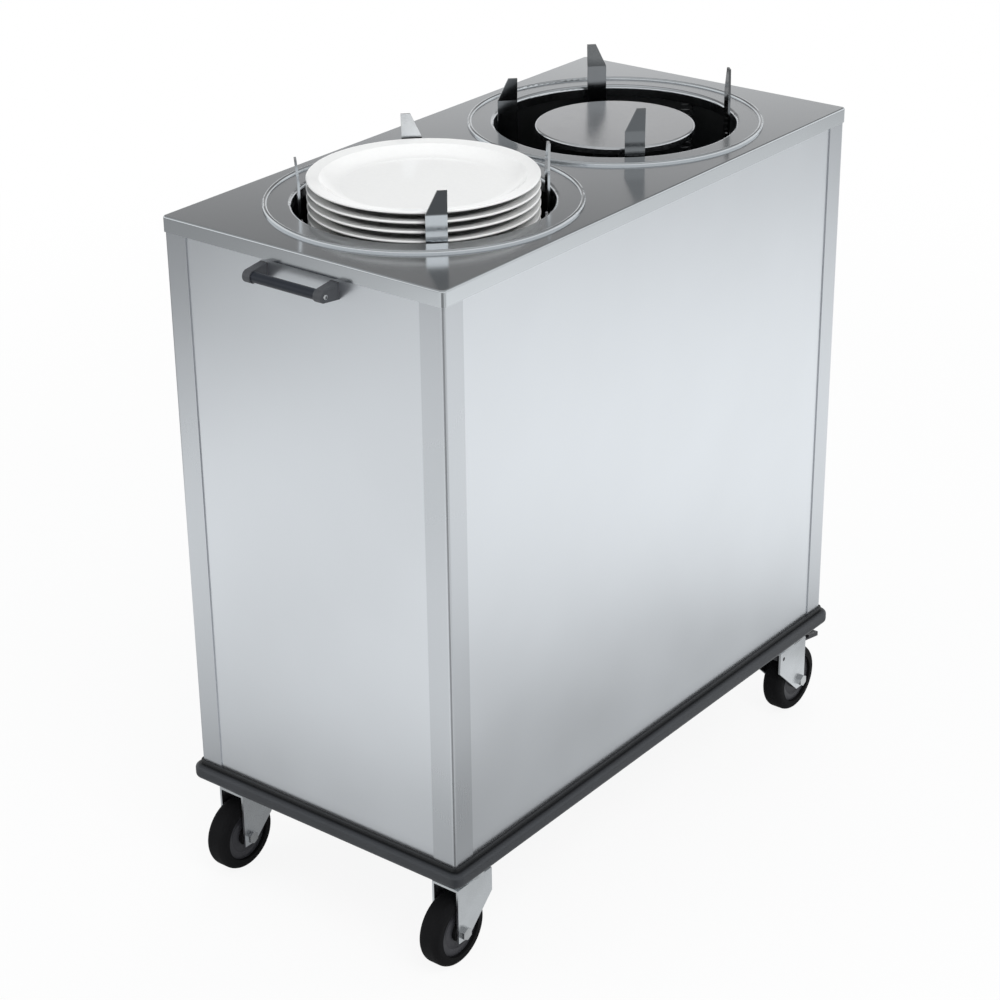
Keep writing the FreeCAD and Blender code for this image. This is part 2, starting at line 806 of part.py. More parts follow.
def plate_stack():
    """Plain dinner plates with a foot ring, a bowed shoulder and a round edge, nested in a stack."""
    well = plate_foot_height + plate_thickness
    foot_inner = plate_foot_radius - plate_foot_width
    rim_inner = plate_radius - plate_rim_width
    edge_middle = plate_radius - plate_edge / 2
    edge_low = plate_height - plate_edge
    edge_tip = (plate_radius, plate_height - plate_edge / 2)
    under_well = (plate_well_radius, plate_foot_height)
    under_rim = (rim_inner, edge_low - plate_rim_fall)
    top_well = (plate_well_radius, well)
    top_rim = (rim_inner, plate_height - plate_rim_fall)
    edges = [
        line((0, plate_foot_height), (foot_inner, plate_foot_height)),
        line((foot_inner, plate_foot_height), (foot_inner, 0)),
        line((foot_inner, 0), (plate_foot_radius, 0)),
        line((plate_foot_radius, 0), (plate_foot_radius, plate_foot_height)),
        line((plate_foot_radius, plate_foot_height), under_well),
        bowed(under_well, under_rim, plate_sag),
        line(under_rim, (edge_middle, edge_low)),
        arc((edge_middle, edge_low), edge_tip, (edge_middle, plate_height)),
        line((edge_middle, plate_height), top_rim),
        bowed(top_well, top_rim, plate_sag),
        line(top_well, (0, well)),
        line((0, well), (0, plate_foot_height)),
    ]
    plates = []
    for i in range(plate_count):
        plate = turned(Part.__sortEdges__(edges), 0, silo_y["front"])
        plate.translate(V(0, 0, carrier_top["front"] + fit_gap + i * well))
        plates.append(plate)
    return Part.makeCompound(plates)


def heaters():
    """A tube bent into an open ring over each can's floor, its legs through it, on three feet."""
    z = can_floor + heater_lift
    leg_low = can_floor - can_sheet - cover_height / 2
    leg = heater_leg()
    start_angle = math.atan2(leg.y, leg.x) + math.atan2(heater_bend, heater_ring_radius)
    start = polar(heater_ring_radius, math.degrees(start_angle))
    tangent = polar(1, math.degrees(start_angle) + 90)
    corner = leg + tangent * (heater_bend * bend_share)
    low = V(leg.x, leg.y, leg_low)
    bend_low = V(leg.x, leg.y, z - heater_bend)
    bend_middle = V(corner.x, corner.y, z - heater_bend * bend_share)
    bend_high = V(start.x, start.y, z)
    far = V(-heater_ring_radius, 0, z)
    half_path = [
        Part.makeLine(low, bend_low),
        Part.Arc(bend_low, bend_middle, bend_high).toShape(),
    ]
    other_half = [e.mirror(ORIGIN, Y_AXIS) for e in half_path]
    other_start = V(start.x, -start.y, z)
    ring = Part.Arc(bend_high, far, other_start).toShape()
    path = Part.Wire(Part.__sortEdges__(half_path + [ring] + other_half))
    tube = path.makePipeShell([Part.Wire(Part.makeCircle(heater_tube_radius, low, Z_AXIS))], True, False)
    foot_top = z + heater_tube_radius + heater_foot_edge
    half_width = heater_foot_width / 2
    half_sheet = heater_foot_sheet / 2
    r = heater_ring_radius
    feet = [
        span_box(-half_sheet, half_sheet, -r - half_width, -r + half_width, can_floor, foot_top),
        span_box(-half_sheet, half_sheet, r - half_width, r + half_width, can_floor, foot_top),
        span_box(-r - half_width, -r + half_width, -half_sheet, half_sheet, can_floor, foot_top),
    ]
    for foot in feet:
        tube = tube.fuse(foot)
    heaters_made = []
    for silo, y in silo_y.items():
        heater = tube.copy()
        heater.rotate(ORIGIN, Z_AXIS, 90 - 90 * heater_side[silo])
        heater.translate(V(0, y, 0))
        heaters_made.append(heater)
    return Part.makeCompound(heaters_made)


def terminal_covers():
    """A shallow cup under each can, over the heater's two terminals."""
    cups = []
    high = can_floor - can_sheet
    low = high - cover_height
    for silo, y in silo_y.items():
        x = heater_side[silo] * heater_leg().x
        cup = upright(cover_radius, x, y, low, high)
        cups.append(cup.cut(upright(cover_radius - can_sheet, x, y, low + can_sheet, high + overrun)))
    return Part.makeCompound(cups)


def wiring_conduits():
    """A conduit from the control box, along the base pan and up to each heater's terminals."""
    pieces = []
    start_y = plate_back - box_depth + 2 * conduit_radius
    start_z = control_middle - box_height / 2
    run_z = pan_top + conduit_radius + fit_gap
    end_z = can_floor - can_sheet - cover_height
    bend = conduit_bend
    slant = bend * bend_share
    for silo, y in silo_y.items():
        x = heater_side[silo] * heater_leg().x
        a = V(x, start_y, start_z)
        b = V(x, start_y, run_z + bend)
        b_mid = V(x, start_y - slant, run_z + slant)
        c = V(x, start_y - bend, run_z)
        d = V(x, y + bend, run_z)
        d_mid = V(x, y + slant, run_z + slant)
        e = V(x, y, run_z + bend)
        f = V(x, y, end_z)
        edges = [
            Part.makeLine(a, b),
            Part.Arc(b, b_mid, c).toShape(),
            Part.makeLine(c, d),
            Part.Arc(d, d_mid, e).toShape(),
            Part.makeLine(e, f),
        ]
        ring = Part.Wire(Part.makeCircle(conduit_radius, a, Z_AXIS))
        pieces.append(Part.Wire(edges).makePipeShell([ring], True, False))
    return Part.makeCompound(pieces)


def knob_centre(silo):
    """Place of a thermostat knob's axis on the control plate."""
    return V(knob_x[silo], plate_face, knob_height)


def switch_centre():
    """Place of the power switch on the control plate."""
    return V(switch_x, plate_face, knob_height + switch_lift)


def gland_centre():
    """Place of the cord gland on the control plate."""
    return V(switch_x, plate_face, knob_height - gland_drop)


def switch_half_sizes():
    """Half width and half height of the switch's body behind the plate."""
    half_width = rocker_width / 2 + fit_gap + switch_wall
    half_height = rocker_radius + fit_gap + switch_wall
    return half_width, half_height


def control_plate():
    """Plate over the rear panel's cut-out, with openings for what it carries."""
    plate = rounded_block(control_width, control_height, control_corner, 0, control_sheet)
    plate.rotate(ORIGIN, X_AXIS, -90)
    plate.translate(V(0, plate_back, control_middle))
    y0 = plate_back - overrun
    y1 = plate_face + overrun
    for silo in silo_y:
        knob = knob_centre(silo)
        plate = plate.cut(along(shaft_radius + fit_gap, knob.x, y0, y1, knob.z))
        plate = plate.cut(along(lamp_radius + fit_gap, knob.x, y0, y1, knob.z + lamp_rise))
    gland = gland_centre()
    plate = plate.cut(along(gland_body_radius + fit_gap, gland.x, y0, y1, gland.z))
    switch = switch_centre()
    half_width, half_height = switch_half_sizes()
    half_width += fit_gap
    half_height += fit_gap
    return plate.cut(span_box(
        switch.x - half_width, switch.x + half_width, y0, y1,
        switch.z - half_height, switch.z + half_height))


def control_box():
    """Open-fronted sheet box behind the control plate."""
    half_x = box_width / 2
    half_z = box_height / 2
    back = plate_back - box_depth
    box = span_box(-half_x, half_x, back, plate_back, control_middle - half_z, control_middle + half_z)
    half_x -= box_sheet
    half_z -= box_sheet
    back += box_sheet
    return box.cut(span_box(
        -half_x, half_x, back, plate_back + overrun, control_middle - half_z, control_middle + half_z))


def switch_body():
    """Switch housing with a bezel, hollow round the rocker, with a bore for the rocker's pins."""
    c = switch_centre()
    half_width, half_height = switch_half_sizes()
    body = span_box(
        c.x - half_width, c.x + half_width, plate_face - switch_depth, plate_face,
        c.z - half_height, c.z + half_height)
    wide = half_width + switch_bezel
    tall = half_height + switch_bezel
    bezel_face = plate_face + switch_bezel_sheet
    body = body.fuse(span_box(
        c.x - wide, c.x + wide, plate_face, bezel_face, c.z - tall, c.z + tall))
    inner_width = half_width - switch_wall
    inner_height = half_height - switch_wall
    axis_y = plate_face - rocker_sink
    body = body.cut(span_box(
        c.x - inner_width, c.x + inner_width,
        axis_y - rocker_radius - fit_gap, bezel_face + overrun,
        c.z - inner_height, c.z + inner_height))
    pin = rocker_width / 2 + rocker_pin_length + fit_gap
    bore = rocker_pin_radius + running_gap
    return body.cut(across(bore, c.x - pin, c.x + pin, axis_y, c.z)).removeSplitter()


def rocker_switch():
    """Rocker with a shallow V face, tipped to its off side, on two stub pins."""
    c = switch_centre()
    axis_y = plate_face - rocker_sink
    half = rocker_width / 2
    rocker = across(rocker_radius, c.x - half, c.x + half, axis_y, c.z)
    ridge = math.cos(math.radians(2 * rocker_tilt)) * rocker_radius
    drop = math.tan(math.radians(rocker_tilt)) * rocker_radius
    far = 2 * rocker_radius
    outline = [
        V(c.x - half - overrun, axis_y + ridge - drop, c.z),
        V(c.x - half - overrun, axis_y + ridge + drop, c.z + far),
        V(c.x - half - overrun, axis_y + far, c.z + far),
        V(c.x - half - overrun, axis_y + far, c.z - far),
        V(c.x - half - overrun, axis_y + ridge + drop, c.z - far),
    ]
    rocker = rocker.cut(polygon_prism(outline, V(rocker_width + 2 * overrun, 0, 0)))
    pin = half + rocker_pin_length
    rocker = rocker.fuse(across(rocker_pin_radius, c.x - pin, c.x + pin, axis_y, c.z))
    rocker.rotate(V(c.x, axis_y, c.z), X_AXIS, rocker_tilt)
    return rocker


def thermostat_knob(silo):
    """Tapered knob with a skirt and a grip ridge across its face, on a shaft."""
    back = knob_stand
    top = back + knob_depth
    skirt = back + knob_skirt
    edge = knob_edge
    skirt_bend = (knob_radius - edge * bend_share, skirt - edge * bend_share)
    edges = [
        line((0, back), (knob_radius, back)),
        line((knob_radius, back), (knob_radius, skirt - edge)),
        arc((knob_radius, skirt - edge), skirt_bend, (knob_radius - edge, skirt)),
        line((knob_radius - edge, skirt), (knob_tip_radius, skirt)),
        line((knob_tip_radius, skirt), (knob_tip_radius - edge, top - knob_ridge)),
        line((knob_tip_radius - edge, top - knob_ridge), (0, top - knob_ridge)),
        line((0, top - knob_ridge), (0, back)),
    ]
    knob = turned(edges, 0, 0)
    half = knob_ridge / 2
    long_half = knob_tip_radius - edge
    ridge = span_box(-half, half, -long_half, long_half, skirt, top)
    ridge = ridge.makeFillet(edge, upright_edges(ridge) + edges_at_height(ridge, top))
    knob = knob.fuse(ridge)
    knob = knob.fuse(upright(shaft_radius, 0, 0, -control_sheet - shaft_depth, back + edge))
    knob.rotate(ORIGIN, X_AXIS, -90)
    knob.translate(knob_centre(silo))
    return knob.removeSplitter()


def thermostats():
    """Round thermostat bodies behind the control plate, bored for the knobs' shafts."""
    bodies = []
    for silo in silo_y:
        c = knob_centre(silo)
        body = along(thermostat_radius, c.x, plate_back - thermostat_depth, plate_back, c.z)
        deep = plate_back - shaft_depth - fit_gap
        bodies.append(body.cut(along(shaft_radius + running_gap, c.x, deep, plate_back + overrun, c.z)))
    return Part.makeCompound(bodies)


def pilot_lamps():
    """A domed pilot lamp above each knob."""
    lamps = []
    dome = lamp_flange_sheet + lamp_dome
    dome_middle = (lamp_radius * math.sqrt(1 / 2), lamp_flange_sheet + lamp_dome * math.sqrt(1 / 2))
    for silo in silo_y:
        c = knob_centre(silo)
        edges = [
            line((0, -lamp_depth), (lamp_radius, -lamp_depth)),
            line((lamp_radius, -lamp_depth), (lamp_radius, 0)),
            line((lamp_radius, 0), (lamp_flange_radius, 0)),
            line((lamp_flange_radius, 0), (lamp_flange_radius, lamp_flange_sheet)),
            line((lamp_flange_radius, lamp_flange_sheet), (lamp_radius, lamp_flange_sheet)),
            arc((lamp_radius, lamp_flange_sheet), dome_middle, (0, dome)),
            line((0, dome), (0, -lamp_depth)),
        ]
        lamp = turned(edges, 0, 0)
        lamp.rotate(ORIGIN, X_AXIS, -90)
        lamp.translate(c + V(0, 0, lamp_rise))
        lamps.append(lamp)
    return Part.makeCompound(lamps)


def hexagon(across_flats, height):
    """A six-sided nut blank about the Z axis."""
    radius = across_flats / 2 / math.cos(math.pi / 6)
    points = [polar(radius, 60 * i) for i in range(6)]
    return polygon_prism(points, V(0, 0, height))


def cord_gland():
    """Cable gland through the control plate: hexagon, domed cap and a through bore."""
    tip = gland_nut_depth + gland_dome_depth
    dome_edge = gland_dome_depth / 2
    points = [
        (0, -control_sheet - gland_depth),
        (gland_body_radius, -control_sheet - gland_depth),
        (gland_body_radius, gland_nut_depth + dome_edge),
        (gland_dome_radius, tip),
        (0, tip),
    ]
    gland = turned(profile(points), 0, 0)
    gland = gland.fuse(hexagon(2 * gland_nut_radius * math.cos(math.pi / 6), gland_nut_depth))
    gland = gland.cut(upright(gland_bore_radius, 0, 0, -control_sheet - gland_depth - overrun, tip + overrun))
    gland.rotate(ORIGIN, X_AXIS, -90)
    gland.translate(gland_centre())
    return gland


def placed_caster(shape, side, end):
    """Move a caster piece, built with the wheel behind the swivel along +Y, to its corner."""
    shape.rotate(ORIGIN, Z_AXIS, 90 - 90 * end)
    shape.translate(V(side * caster_x, end * caster_y, 0))
    return shape


def caster_plates():
    """Top plates with a race cap and a kingpin, under the four corners of the base frame."""
    pieces = []
    high = caster_height
    low = high - top_plate_sheet
    cap_low = low - cap_height
    pin_low = fork_crown - fork_sheet - kingpin_nut_height - fit_gap
    for end in caster_ends.values():
        for side in caster_sides.values():
            plate = rounded_block(top_plate_width, top_plate_length, top_plate_corner, low, high)
            plate = plate.fuse(upright(cap_radius, 0, 0, cap_low, low))
            plate = plate.fuse(upright(kingpin_radius, 0, 0, pin_low, low))
            nut = hexagon(2 * kingpin_nut_radius * math.cos(math.pi / 6), kingpin_nut_height)
            nut.translate(V(0, 0, pin_low))
            pieces.append(placed_caster(plate.fuse(nut).removeSplitter(), side, end))
    return Part.makeCompound(pieces)


def caster_fork(side, end):
    """Pressed fork: two tapered legs under a crown, with a race ring on top."""
    half_gap = fork_gap / 2
    half = half_gap + fork_sheet
    tail = caster_trail + fork_tail
    low = wheel_radius - fork_low
    outline = [
        V(-half, tail, fork_crown),
        V(-half, tail, low),
        V(-half, caster_trail - fork_toe, low),
        V(-half, -fork_nose, fork_crown - fork_shoulder),
        V(-half, -fork_nose, fork_crown),
    ]
    fork = polygon_prism(outline, V(2 * half, 0, 0))
    room = span_box(
        -half_gap, half_gap, -fork_nose - overrun, tail + overrun,
        low - overrun, fork_crown - fork_sheet)
    fork = fork.cut(room)
    race_top = fork_crown + race_height
    fork = fork.fuse(upright(race_radius, 0, 0, fork_crown, race_top))
    kingpin = kingpin_radius + running_gap
    fork = fork.cut(upright(kingpin, 0, 0, fork_crown - fork_sheet - overrun, race_top + overrun))
    wide = half + overrun
    fork = fork.cut(across(axle_radius + running_gap, -wide, wide, caster_trail, wheel_radius))
    if end == caster_ends["rear"]:
        pin = pedal_pin_radius + running_gap
        fork = fork.cut(across(pin, -wide, wide, pedal_pin_place, pedal_pin_height))
    return placed_caster(fork.removeSplitter(), side, end)


def caster_wheel(side, end):
    """Solid tyre with rounded shoulders on a dished web and a wide hub."""
    half = wheel_width / 2
    hub_half = hub_width / 2
    bore = axle_radius + running_gap
    rim = wheel_radius - tyre_side
    web_half = half - wheel_dish
    flat = half - tyre_round
    shoulder = wheel_radius - tyre_round
    slant = tyre_round * math.sqrt(1 / 2)
    edges = [
        line((bore, -hub_half), (hub_radius, -hub_half)),
        line((hub_radius, -hub_half), (hub_radius, -web_half)),
        line((hub_radius, -web_half), (rim, -web_half)),
        line((rim, -web_half), (rim, -half)),
        line((rim, -half), (shoulder, -half)),
        arc((shoulder, -half), (shoulder + slant, -flat - slant), (wheel_radius, -flat)),
        line((wheel_radius, -flat), (wheel_radius, flat)),
        arc((wheel_radius, flat), (shoulder + slant, flat + slant), (shoulder, half)),
        line((shoulder, half), (rim, half)),
        line((rim, half), (rim, web_half)),
        line((rim, web_half), (hub_radius, web_half)),
        line((hub_radius, web_half), (hub_radius, hub_half)),
        line((hub_radius, hub_half), (bore, hub_half)),
        line((bore, hub_half), (bore, -hub_half)),
    ]
    wheel = turned(edges, 0, 0)
    wheel.rotate(ORIGIN, Y_AXIS, 90)
    wheel.translate(V(0, caster_trail, wheel_radius))
    return placed_caster(wheel, side, end)


def caster_axle(side, end):
    """Axle bolt through both legs, with a hexagon at each end."""
    half = fork_gap / 2 + fork_sheet
    axle = across(axle_radius, -half - nut_height, half + nut_height, caster_trail, wheel_radius)
    for place in (-half - nut_height, half):
        nut = hexagon(nut_across, nut_height)
        nut.rotate(ORIGIN, Y_AXIS, 90)
        nut.translate(V(place, caster_trail, wheel_radius))
        axle = axle.fuse(nut)
    return placed_caster(axle.removeSplitter(), side, end)


def brake_pedal(side, end):
    """Lever over the wheel: a hub on a cross pin, a bent strip and a ribbed tread."""
    half = pedal_width / 2
    pin_half = fork_gap / 2 + fork_sheet
    y0 = pedal_pin_place
    z0 = pedal_pin_height
    low = z0 - pedal_sheet / 2
    high = z0 + pedal_sheet / 2
    strip = polygon_prism([
        V(-half, y0, low),
        V(-half, y0, high),
        V(-half, pedal_knee, high),
        V(-half, pedal_reach, high - pedal_drop),
        V(-half, pedal_reach, low - pedal_drop),
        V(-half, pedal_knee, low),
    ], V(pedal_width, 0, 0))
    slope = pedal_drop / (pedal_reach - pedal_knee)
    tread_y = pedal_reach - pedal_tread_length
    tread_drop = pedal_drop - slope * pedal_tread_length
    tread = polygon_prism([
        V(-half, tread_y, high - tread_drop),
        V(-half, tread_y, high - tread_drop + pedal_tread_sheet),
        V(-half, pedal_reach, high - pedal_drop + pedal_tread_sheet),
        V(-half, pedal_reach, high - pedal_drop),
    ], V(pedal_width, 0, 0))
    pedal = strip.fuse(tread)
    pedal = pedal.fuse(across(pedal_hub_radius, -half, half, y0, z0))
    pedal = pedal.fuse(across(pedal_pin_radius, -pin_half, pin_half, y0, z0))
    return placed_caster(pedal.removeSplitter(), side, end)


def all_parts():
    """Every piece by its name."""
    end_span = 2 * (post_x - post_leg + panel_lap)
    side_span = 2 * (post_y - post_leg + panel_lap)
    parts = {
        "deck": deck(),
        "front_panel": folded_panel(end_span, 0, 0, -panel_y),
        "rear_panel": rear_panel(end_span),
        "left_panel": folded_panel(side_span, -90, -panel_x, 0),
        "right_panel": folded_panel(side_span, 90, panel_x, 0),
        "corner_posts": corner_posts(),
        "base_frame": base_frame(),
        "base_pan": base_pan(),
        "bumper": bumper(),
        "handle_bar": handle_bar(),
        "handle_brackets": handle_brackets(),
        "guide_brackets": guide_brackets(),
        "slide_rods": slide_rods(),
        "heaters": heaters(),
        "terminal_covers": terminal_covers(),
        "wiring_conduits": wiring_conduits(),
        "control_plate": control_plate(),
        "control_box": control_box(),
        "switch_body": switch_body(),
        "rocker_switch": rocker_switch(),
        "thermostats": thermostats(),
        "pilot_lamps": pilot_lamps(),
        "cord_gland": cord_gland(),
        "plate_stack": plate_stack(),
        "caster_plates": caster_plates(),
    }
    for silo, y in silo_y.items():
        parts["silo_flange_" + silo] = silo_flange(y)
        parts["silo_can_" + silo] = silo_can(silo)
        parts["carrier_plate_" + silo] = carrier_plate(silo)
        parts["carrier_spider_" + silo] = carrier_spider(silo)
        parts["carrier_springs_" + silo] = carrier_springs(silo)
        parts["thermostat_knob_" + silo] = thermostat_knob(silo)
        for number in range(len(guide_angles)):
            parts["plate_guide_" + silo + "_" + str(number + 1)] = plate_guide(silo, number)
    for end_name, end in caster_ends.items():
        for side_name, side in caster_sides.items():
            corner = end_name + "_" + side_name
            parts["caster_fork_" + corner] = caster_fork(side, end)
            parts["caster_wheel_" + corner] = caster_wheel(side, end)
            parts["caster_axle_" + corner] = caster_axle(side, end)
    for side_name, side in caster_sides.items():
        parts["brake_pedal_" + side_name] = brake_pedal(side, caster_ends["rear"])
    return parts


os.makedirs("parts", exist_ok=True)
for name, shape in all_parts().items():
    if not shape.isValid():
        print("not valid:", name)
    shape.exportStep("parts/" + name + ".step")
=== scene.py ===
import json
import math

import bmesh
import bpy
from mathutils import Matrix, Vector
from mathutils.bvhtree import BVHTree


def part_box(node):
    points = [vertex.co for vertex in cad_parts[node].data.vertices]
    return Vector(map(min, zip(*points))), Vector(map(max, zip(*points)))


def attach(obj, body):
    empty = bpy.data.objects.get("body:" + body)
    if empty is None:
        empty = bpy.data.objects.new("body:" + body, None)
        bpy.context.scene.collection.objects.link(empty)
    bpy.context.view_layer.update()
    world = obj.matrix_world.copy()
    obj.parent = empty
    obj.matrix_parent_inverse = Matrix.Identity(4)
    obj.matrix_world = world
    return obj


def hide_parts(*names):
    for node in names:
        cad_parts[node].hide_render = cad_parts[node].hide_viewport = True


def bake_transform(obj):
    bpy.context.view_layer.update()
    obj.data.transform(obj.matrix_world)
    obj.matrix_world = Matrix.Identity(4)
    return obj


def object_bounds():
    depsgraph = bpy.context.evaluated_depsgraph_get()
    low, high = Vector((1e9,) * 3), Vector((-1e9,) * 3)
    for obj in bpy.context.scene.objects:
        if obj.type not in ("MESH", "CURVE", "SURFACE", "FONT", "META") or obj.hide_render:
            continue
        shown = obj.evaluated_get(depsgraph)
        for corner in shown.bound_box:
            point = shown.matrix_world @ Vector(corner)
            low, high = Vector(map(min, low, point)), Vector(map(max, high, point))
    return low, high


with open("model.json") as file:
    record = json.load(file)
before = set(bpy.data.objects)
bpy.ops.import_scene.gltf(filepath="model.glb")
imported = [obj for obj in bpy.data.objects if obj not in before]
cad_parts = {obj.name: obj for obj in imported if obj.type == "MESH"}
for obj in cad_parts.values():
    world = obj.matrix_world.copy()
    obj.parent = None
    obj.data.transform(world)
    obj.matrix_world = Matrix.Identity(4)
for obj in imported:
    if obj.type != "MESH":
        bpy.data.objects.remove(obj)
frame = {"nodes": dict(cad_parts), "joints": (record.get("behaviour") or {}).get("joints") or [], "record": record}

# Heated plate dispenser: materials, small fittings and the studio. Metres, in the frame's own axes:
# X is the short width, Y the length, Z up, and the handle is at the -Y end.
cad_low, cad_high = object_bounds()
record = frame["record"]
slot_of = {part["node"]: part["material_slot"] for part in record["subparts"]}
colour_of = {entry["slot"]: entry["base_color"] for entry in record["materials"]}
SILOS = ("front", "rear")
ENDS = ("front", "rear")
SIDES = ("left", "right")
CORNERS = ((-1, -1), (1, -1), (-1, 1), (1, 1))
X_AXIS = Vector((1, 0, 0))
Y_AXIS = Vector((0, 1, 0))
Z_AXIS = Vector((0, 0, 1))
mm = 0.001

# Camera, from the photograph
image_pixels = 1000
focal_pixels = 2499.8
sensor_mm = 36.0
camera_place = Vector((1.8631, -2.4336, 1.9125))
camera_azimuth = 38.10
camera_elevation = 25.59
camera_roll = -0.69
camera_reach = 100.0

# Studio
floor_size = 14.0
# The share of the floor's white that no shadow takes away, by the distance from the cabinet's foot
floor_glow = ((0.0, 0.90), (1.0, 0.93), (2.6, 1.0))
floor_white = 0.86
# The lit pool on the floor as the steel mirrors it: greys by the distance from the cabinet's foot,
# by the place across and along the room, and by the cosine of the turn from the dark aisle at the
# front right
pool_from_foot = (
    (0.0, 0.42), (0.03, 0.92), (0.10, 0.92), (0.17, 0.52), (0.25, 0.52), (0.35, 0.70),
    (0.45, 0.82), (0.65, 0.96), (0.85, 1.0), (1.6, 1.0), (2.4, 0.8), (4.0, 0.4),
)
pool_across = (
    (-1.9, 0.45), (-1.45, 0.69), (-1.15, 0.96), (-0.9, 0.87), (-0.6, 0.80),
    (-0.35, 0.92), (-0.1, 0.95), (0.25, 1.0), (1.2, 1.0), (2.2, 0.85),
)
pool_along = (
    (-1.3, 1.0), (-0.85, 1.0), (-0.62, 0.92), (-0.45, 0.74), (-0.2, 0.70),
    (0.15, 0.80), (0.4, 0.92), (0.7, 1.0),
)
aisle_azimuth = 38.0
pool_aisle = ((-1.0, 1.0), (0.80, 1.0), (0.93, 0.40), (1.0, 0.34))
# The room above as the steel mirrors it, by the sine of the elevation
room_mirror = ((-1.0, 1.0), (0.44, 1.0), (0.58, 0.30), (0.72, 0.42), (1.0, 0.62))
mirror_colour = (0.965, 0.99, 1.0)
ambient_strength = 0.62
ambient_colour = (0.97, 0.985, 1.0)
key_place = Vector((2.6, -1.2, 3.4))
key_size = 2.4
key_power = 74.0
fill_place = Vector((-2.4, -3.0, 2.4))
fill_size = 2.6
fill_power = 22.0
back_place = Vector((-1.2, 3.0, 3.2))
back_size = 2.6
back_power = 26.0
flag_distance = 3.2
flag_width = 4.6
flag_height = 2.3
rear_flag_elevation = 24.0
rear_flag_grey = 0.20

# Edges sharper than these angles, in degrees, stay sharp in the shading
sharp_angle = 35.0
screw_sharp_angle = 30.0
bolt_sharp_angle = 25.0
spring_sharp_angle = 60.0

# Fasteners
ring_points = 24
panel_screw_radius = 4.2 * mm
panel_screw_height = 2.2 * mm
panel_screw_count = 5         # down each edge of the rear panel
panel_screw_inset = 17.0 * mm
panel_screw_margin = 40.0 * mm
control_screw_margin = 8.0 * mm
bracket_screw_radius = 3.4 * mm
bracket_screw_height = 2.0 * mm
# A pan head's outline and its cross recess, in shares of the radius and, last, of the height
pan_outline = ((1.0, 0.0), (1.0, 0.25), (0.88, 0.72), (0.62, 1.0))
pan_recess = ((0.5, 0.15, 1.0), (0.32, 0.1, 0.3))
plate_bolt_radius = 6.5 * mm
plate_bolt_height = 5.0 * mm
plate_bolt_margin = 9.0 * mm
washer_height = 1.2 * mm
bolt_washer_share = 0.68      # of the width across the flats
bolt_crown_share = 0.47
bolt_flat_share = 0.8         # of the head's height
caster_plate_width = 64.0 * mm
caster_plate_length = 92.0 * mm
caster_plate_sheet = 4.0 * mm

# Springs, as the frame has them
spring_wire_radius = 1.2 * mm
spring_turns = 20
spring_points_per_turn = 14
spring_wire_facets = 2        # between the quarters of the wire's round
spring_end_share = 0.06       # of the spring's length, where each end is drawn in to the axis

# Controls
dial_gap = 3.0 * mm           # knob to the scale's ticks
dial_tick_length = 3.2 * mm
dial_tick_width = 0.6 * mm
dial_steps = 10
dial_off_turn = -20.0         # degrees, where the zero stands clear of the lamp above it
digit_size = 6.0 * mm
digit_gap_share = 0.6         # of the digit's size, from a tick to the digit's middle
digit_curve_points = 4
print_height = 0.08 * mm
print_edge = 0.4 * print_height
pointer_width = 1.6 * mm
pointer_length_share = 0.7    # of the knob's radius
pointer_place_share = 0.45
mark_reach = 4.6 * mm         # from the rocker's ridge to its marks
mark_bar_length = 3.6 * mm
mark_width = 0.7 * mm
mark_ring_radius = 1.9 * mm
mark_ring_points = 32
lamp_flange_radius = 7.0 * mm
lamp_ring_width = 2.0 * mm
lamp_ring_height = 1.9 * mm
# In shares of the ring's width and height
lamp_ring_outline = ((0.1, 0.0), (1.0, 0.0), (1.0, 0.4), (0.7, 0.85), (0.1, 1.0))

# Wheels and pedals
hub_disc_inner = 14.2 * mm
hub_disc_outer = 35.6 * mm
hub_disc_height = 1.0 * mm
hub_disc_points = 64
# From the inner to the outer edge, with a groove half as deep as the disc is high
hub_disc_outline = (
    (0.0, 0.0), (1.0, 0.0), (1.0, 0.6), (0.92, 1.0), (0.62, 1.0),
    (0.58, 0.5), (0.50, 0.5), (0.46, 1.0), (0.0, 1.0),
)
web_from_hub_face = 6.5 * mm
pedal_rib_count = 4
pedal_rib_length = 20.0 * mm
pedal_rib_width = 2.2 * mm
pedal_rib_height = 1.4 * mm
pedal_rib_edge = 0.4 * pedal_rib_height
pedal_rib_spacing = 5.4 * mm
pedal_rib_start = 0.7         # of the spacing, from the pedal's end to the first rib

# Plates and their guides
guide_tip_height = 30.0 * mm
guide_tip_fade = 3.0 * mm
# Shares of the blade steel's colour below the bend and on the tip: painted reflection, each blade lightened or
# darkened for what it mirrors
bright_blade_reflection = (1.0, 0.95)
near_blade_reflection = (1.0, 0.18)
far_blade_reflection = (0.33, 0.26)
plate_gap_reach = 11.0 * mm   # how deep between the rims the light fades
plate_gap_shade = 0.50
plate_gap_samples = 8

# Deck, bumper and frame
deck_grain = (500, 14, 500)
deck_grain_depth = 0.006 * mm
# Painted light: the folded lip's share of the deck steel's colour, brighter than the top
deck_lip_painted_light = 1.18
deck_fold_height = 2.0 * mm
# Painted shade along the frame's top edge, in the recess where the panels stand on it
panel_joint_height = 0.5 * mm
panel_joint_painted_shade = 0.05
bumper_lip_height = 5.5 * mm  # the step along its top edge, darkened with painted shade
bumper_lip_fade = 2.0 * mm
bumper_lip_painted_shade = 0.30

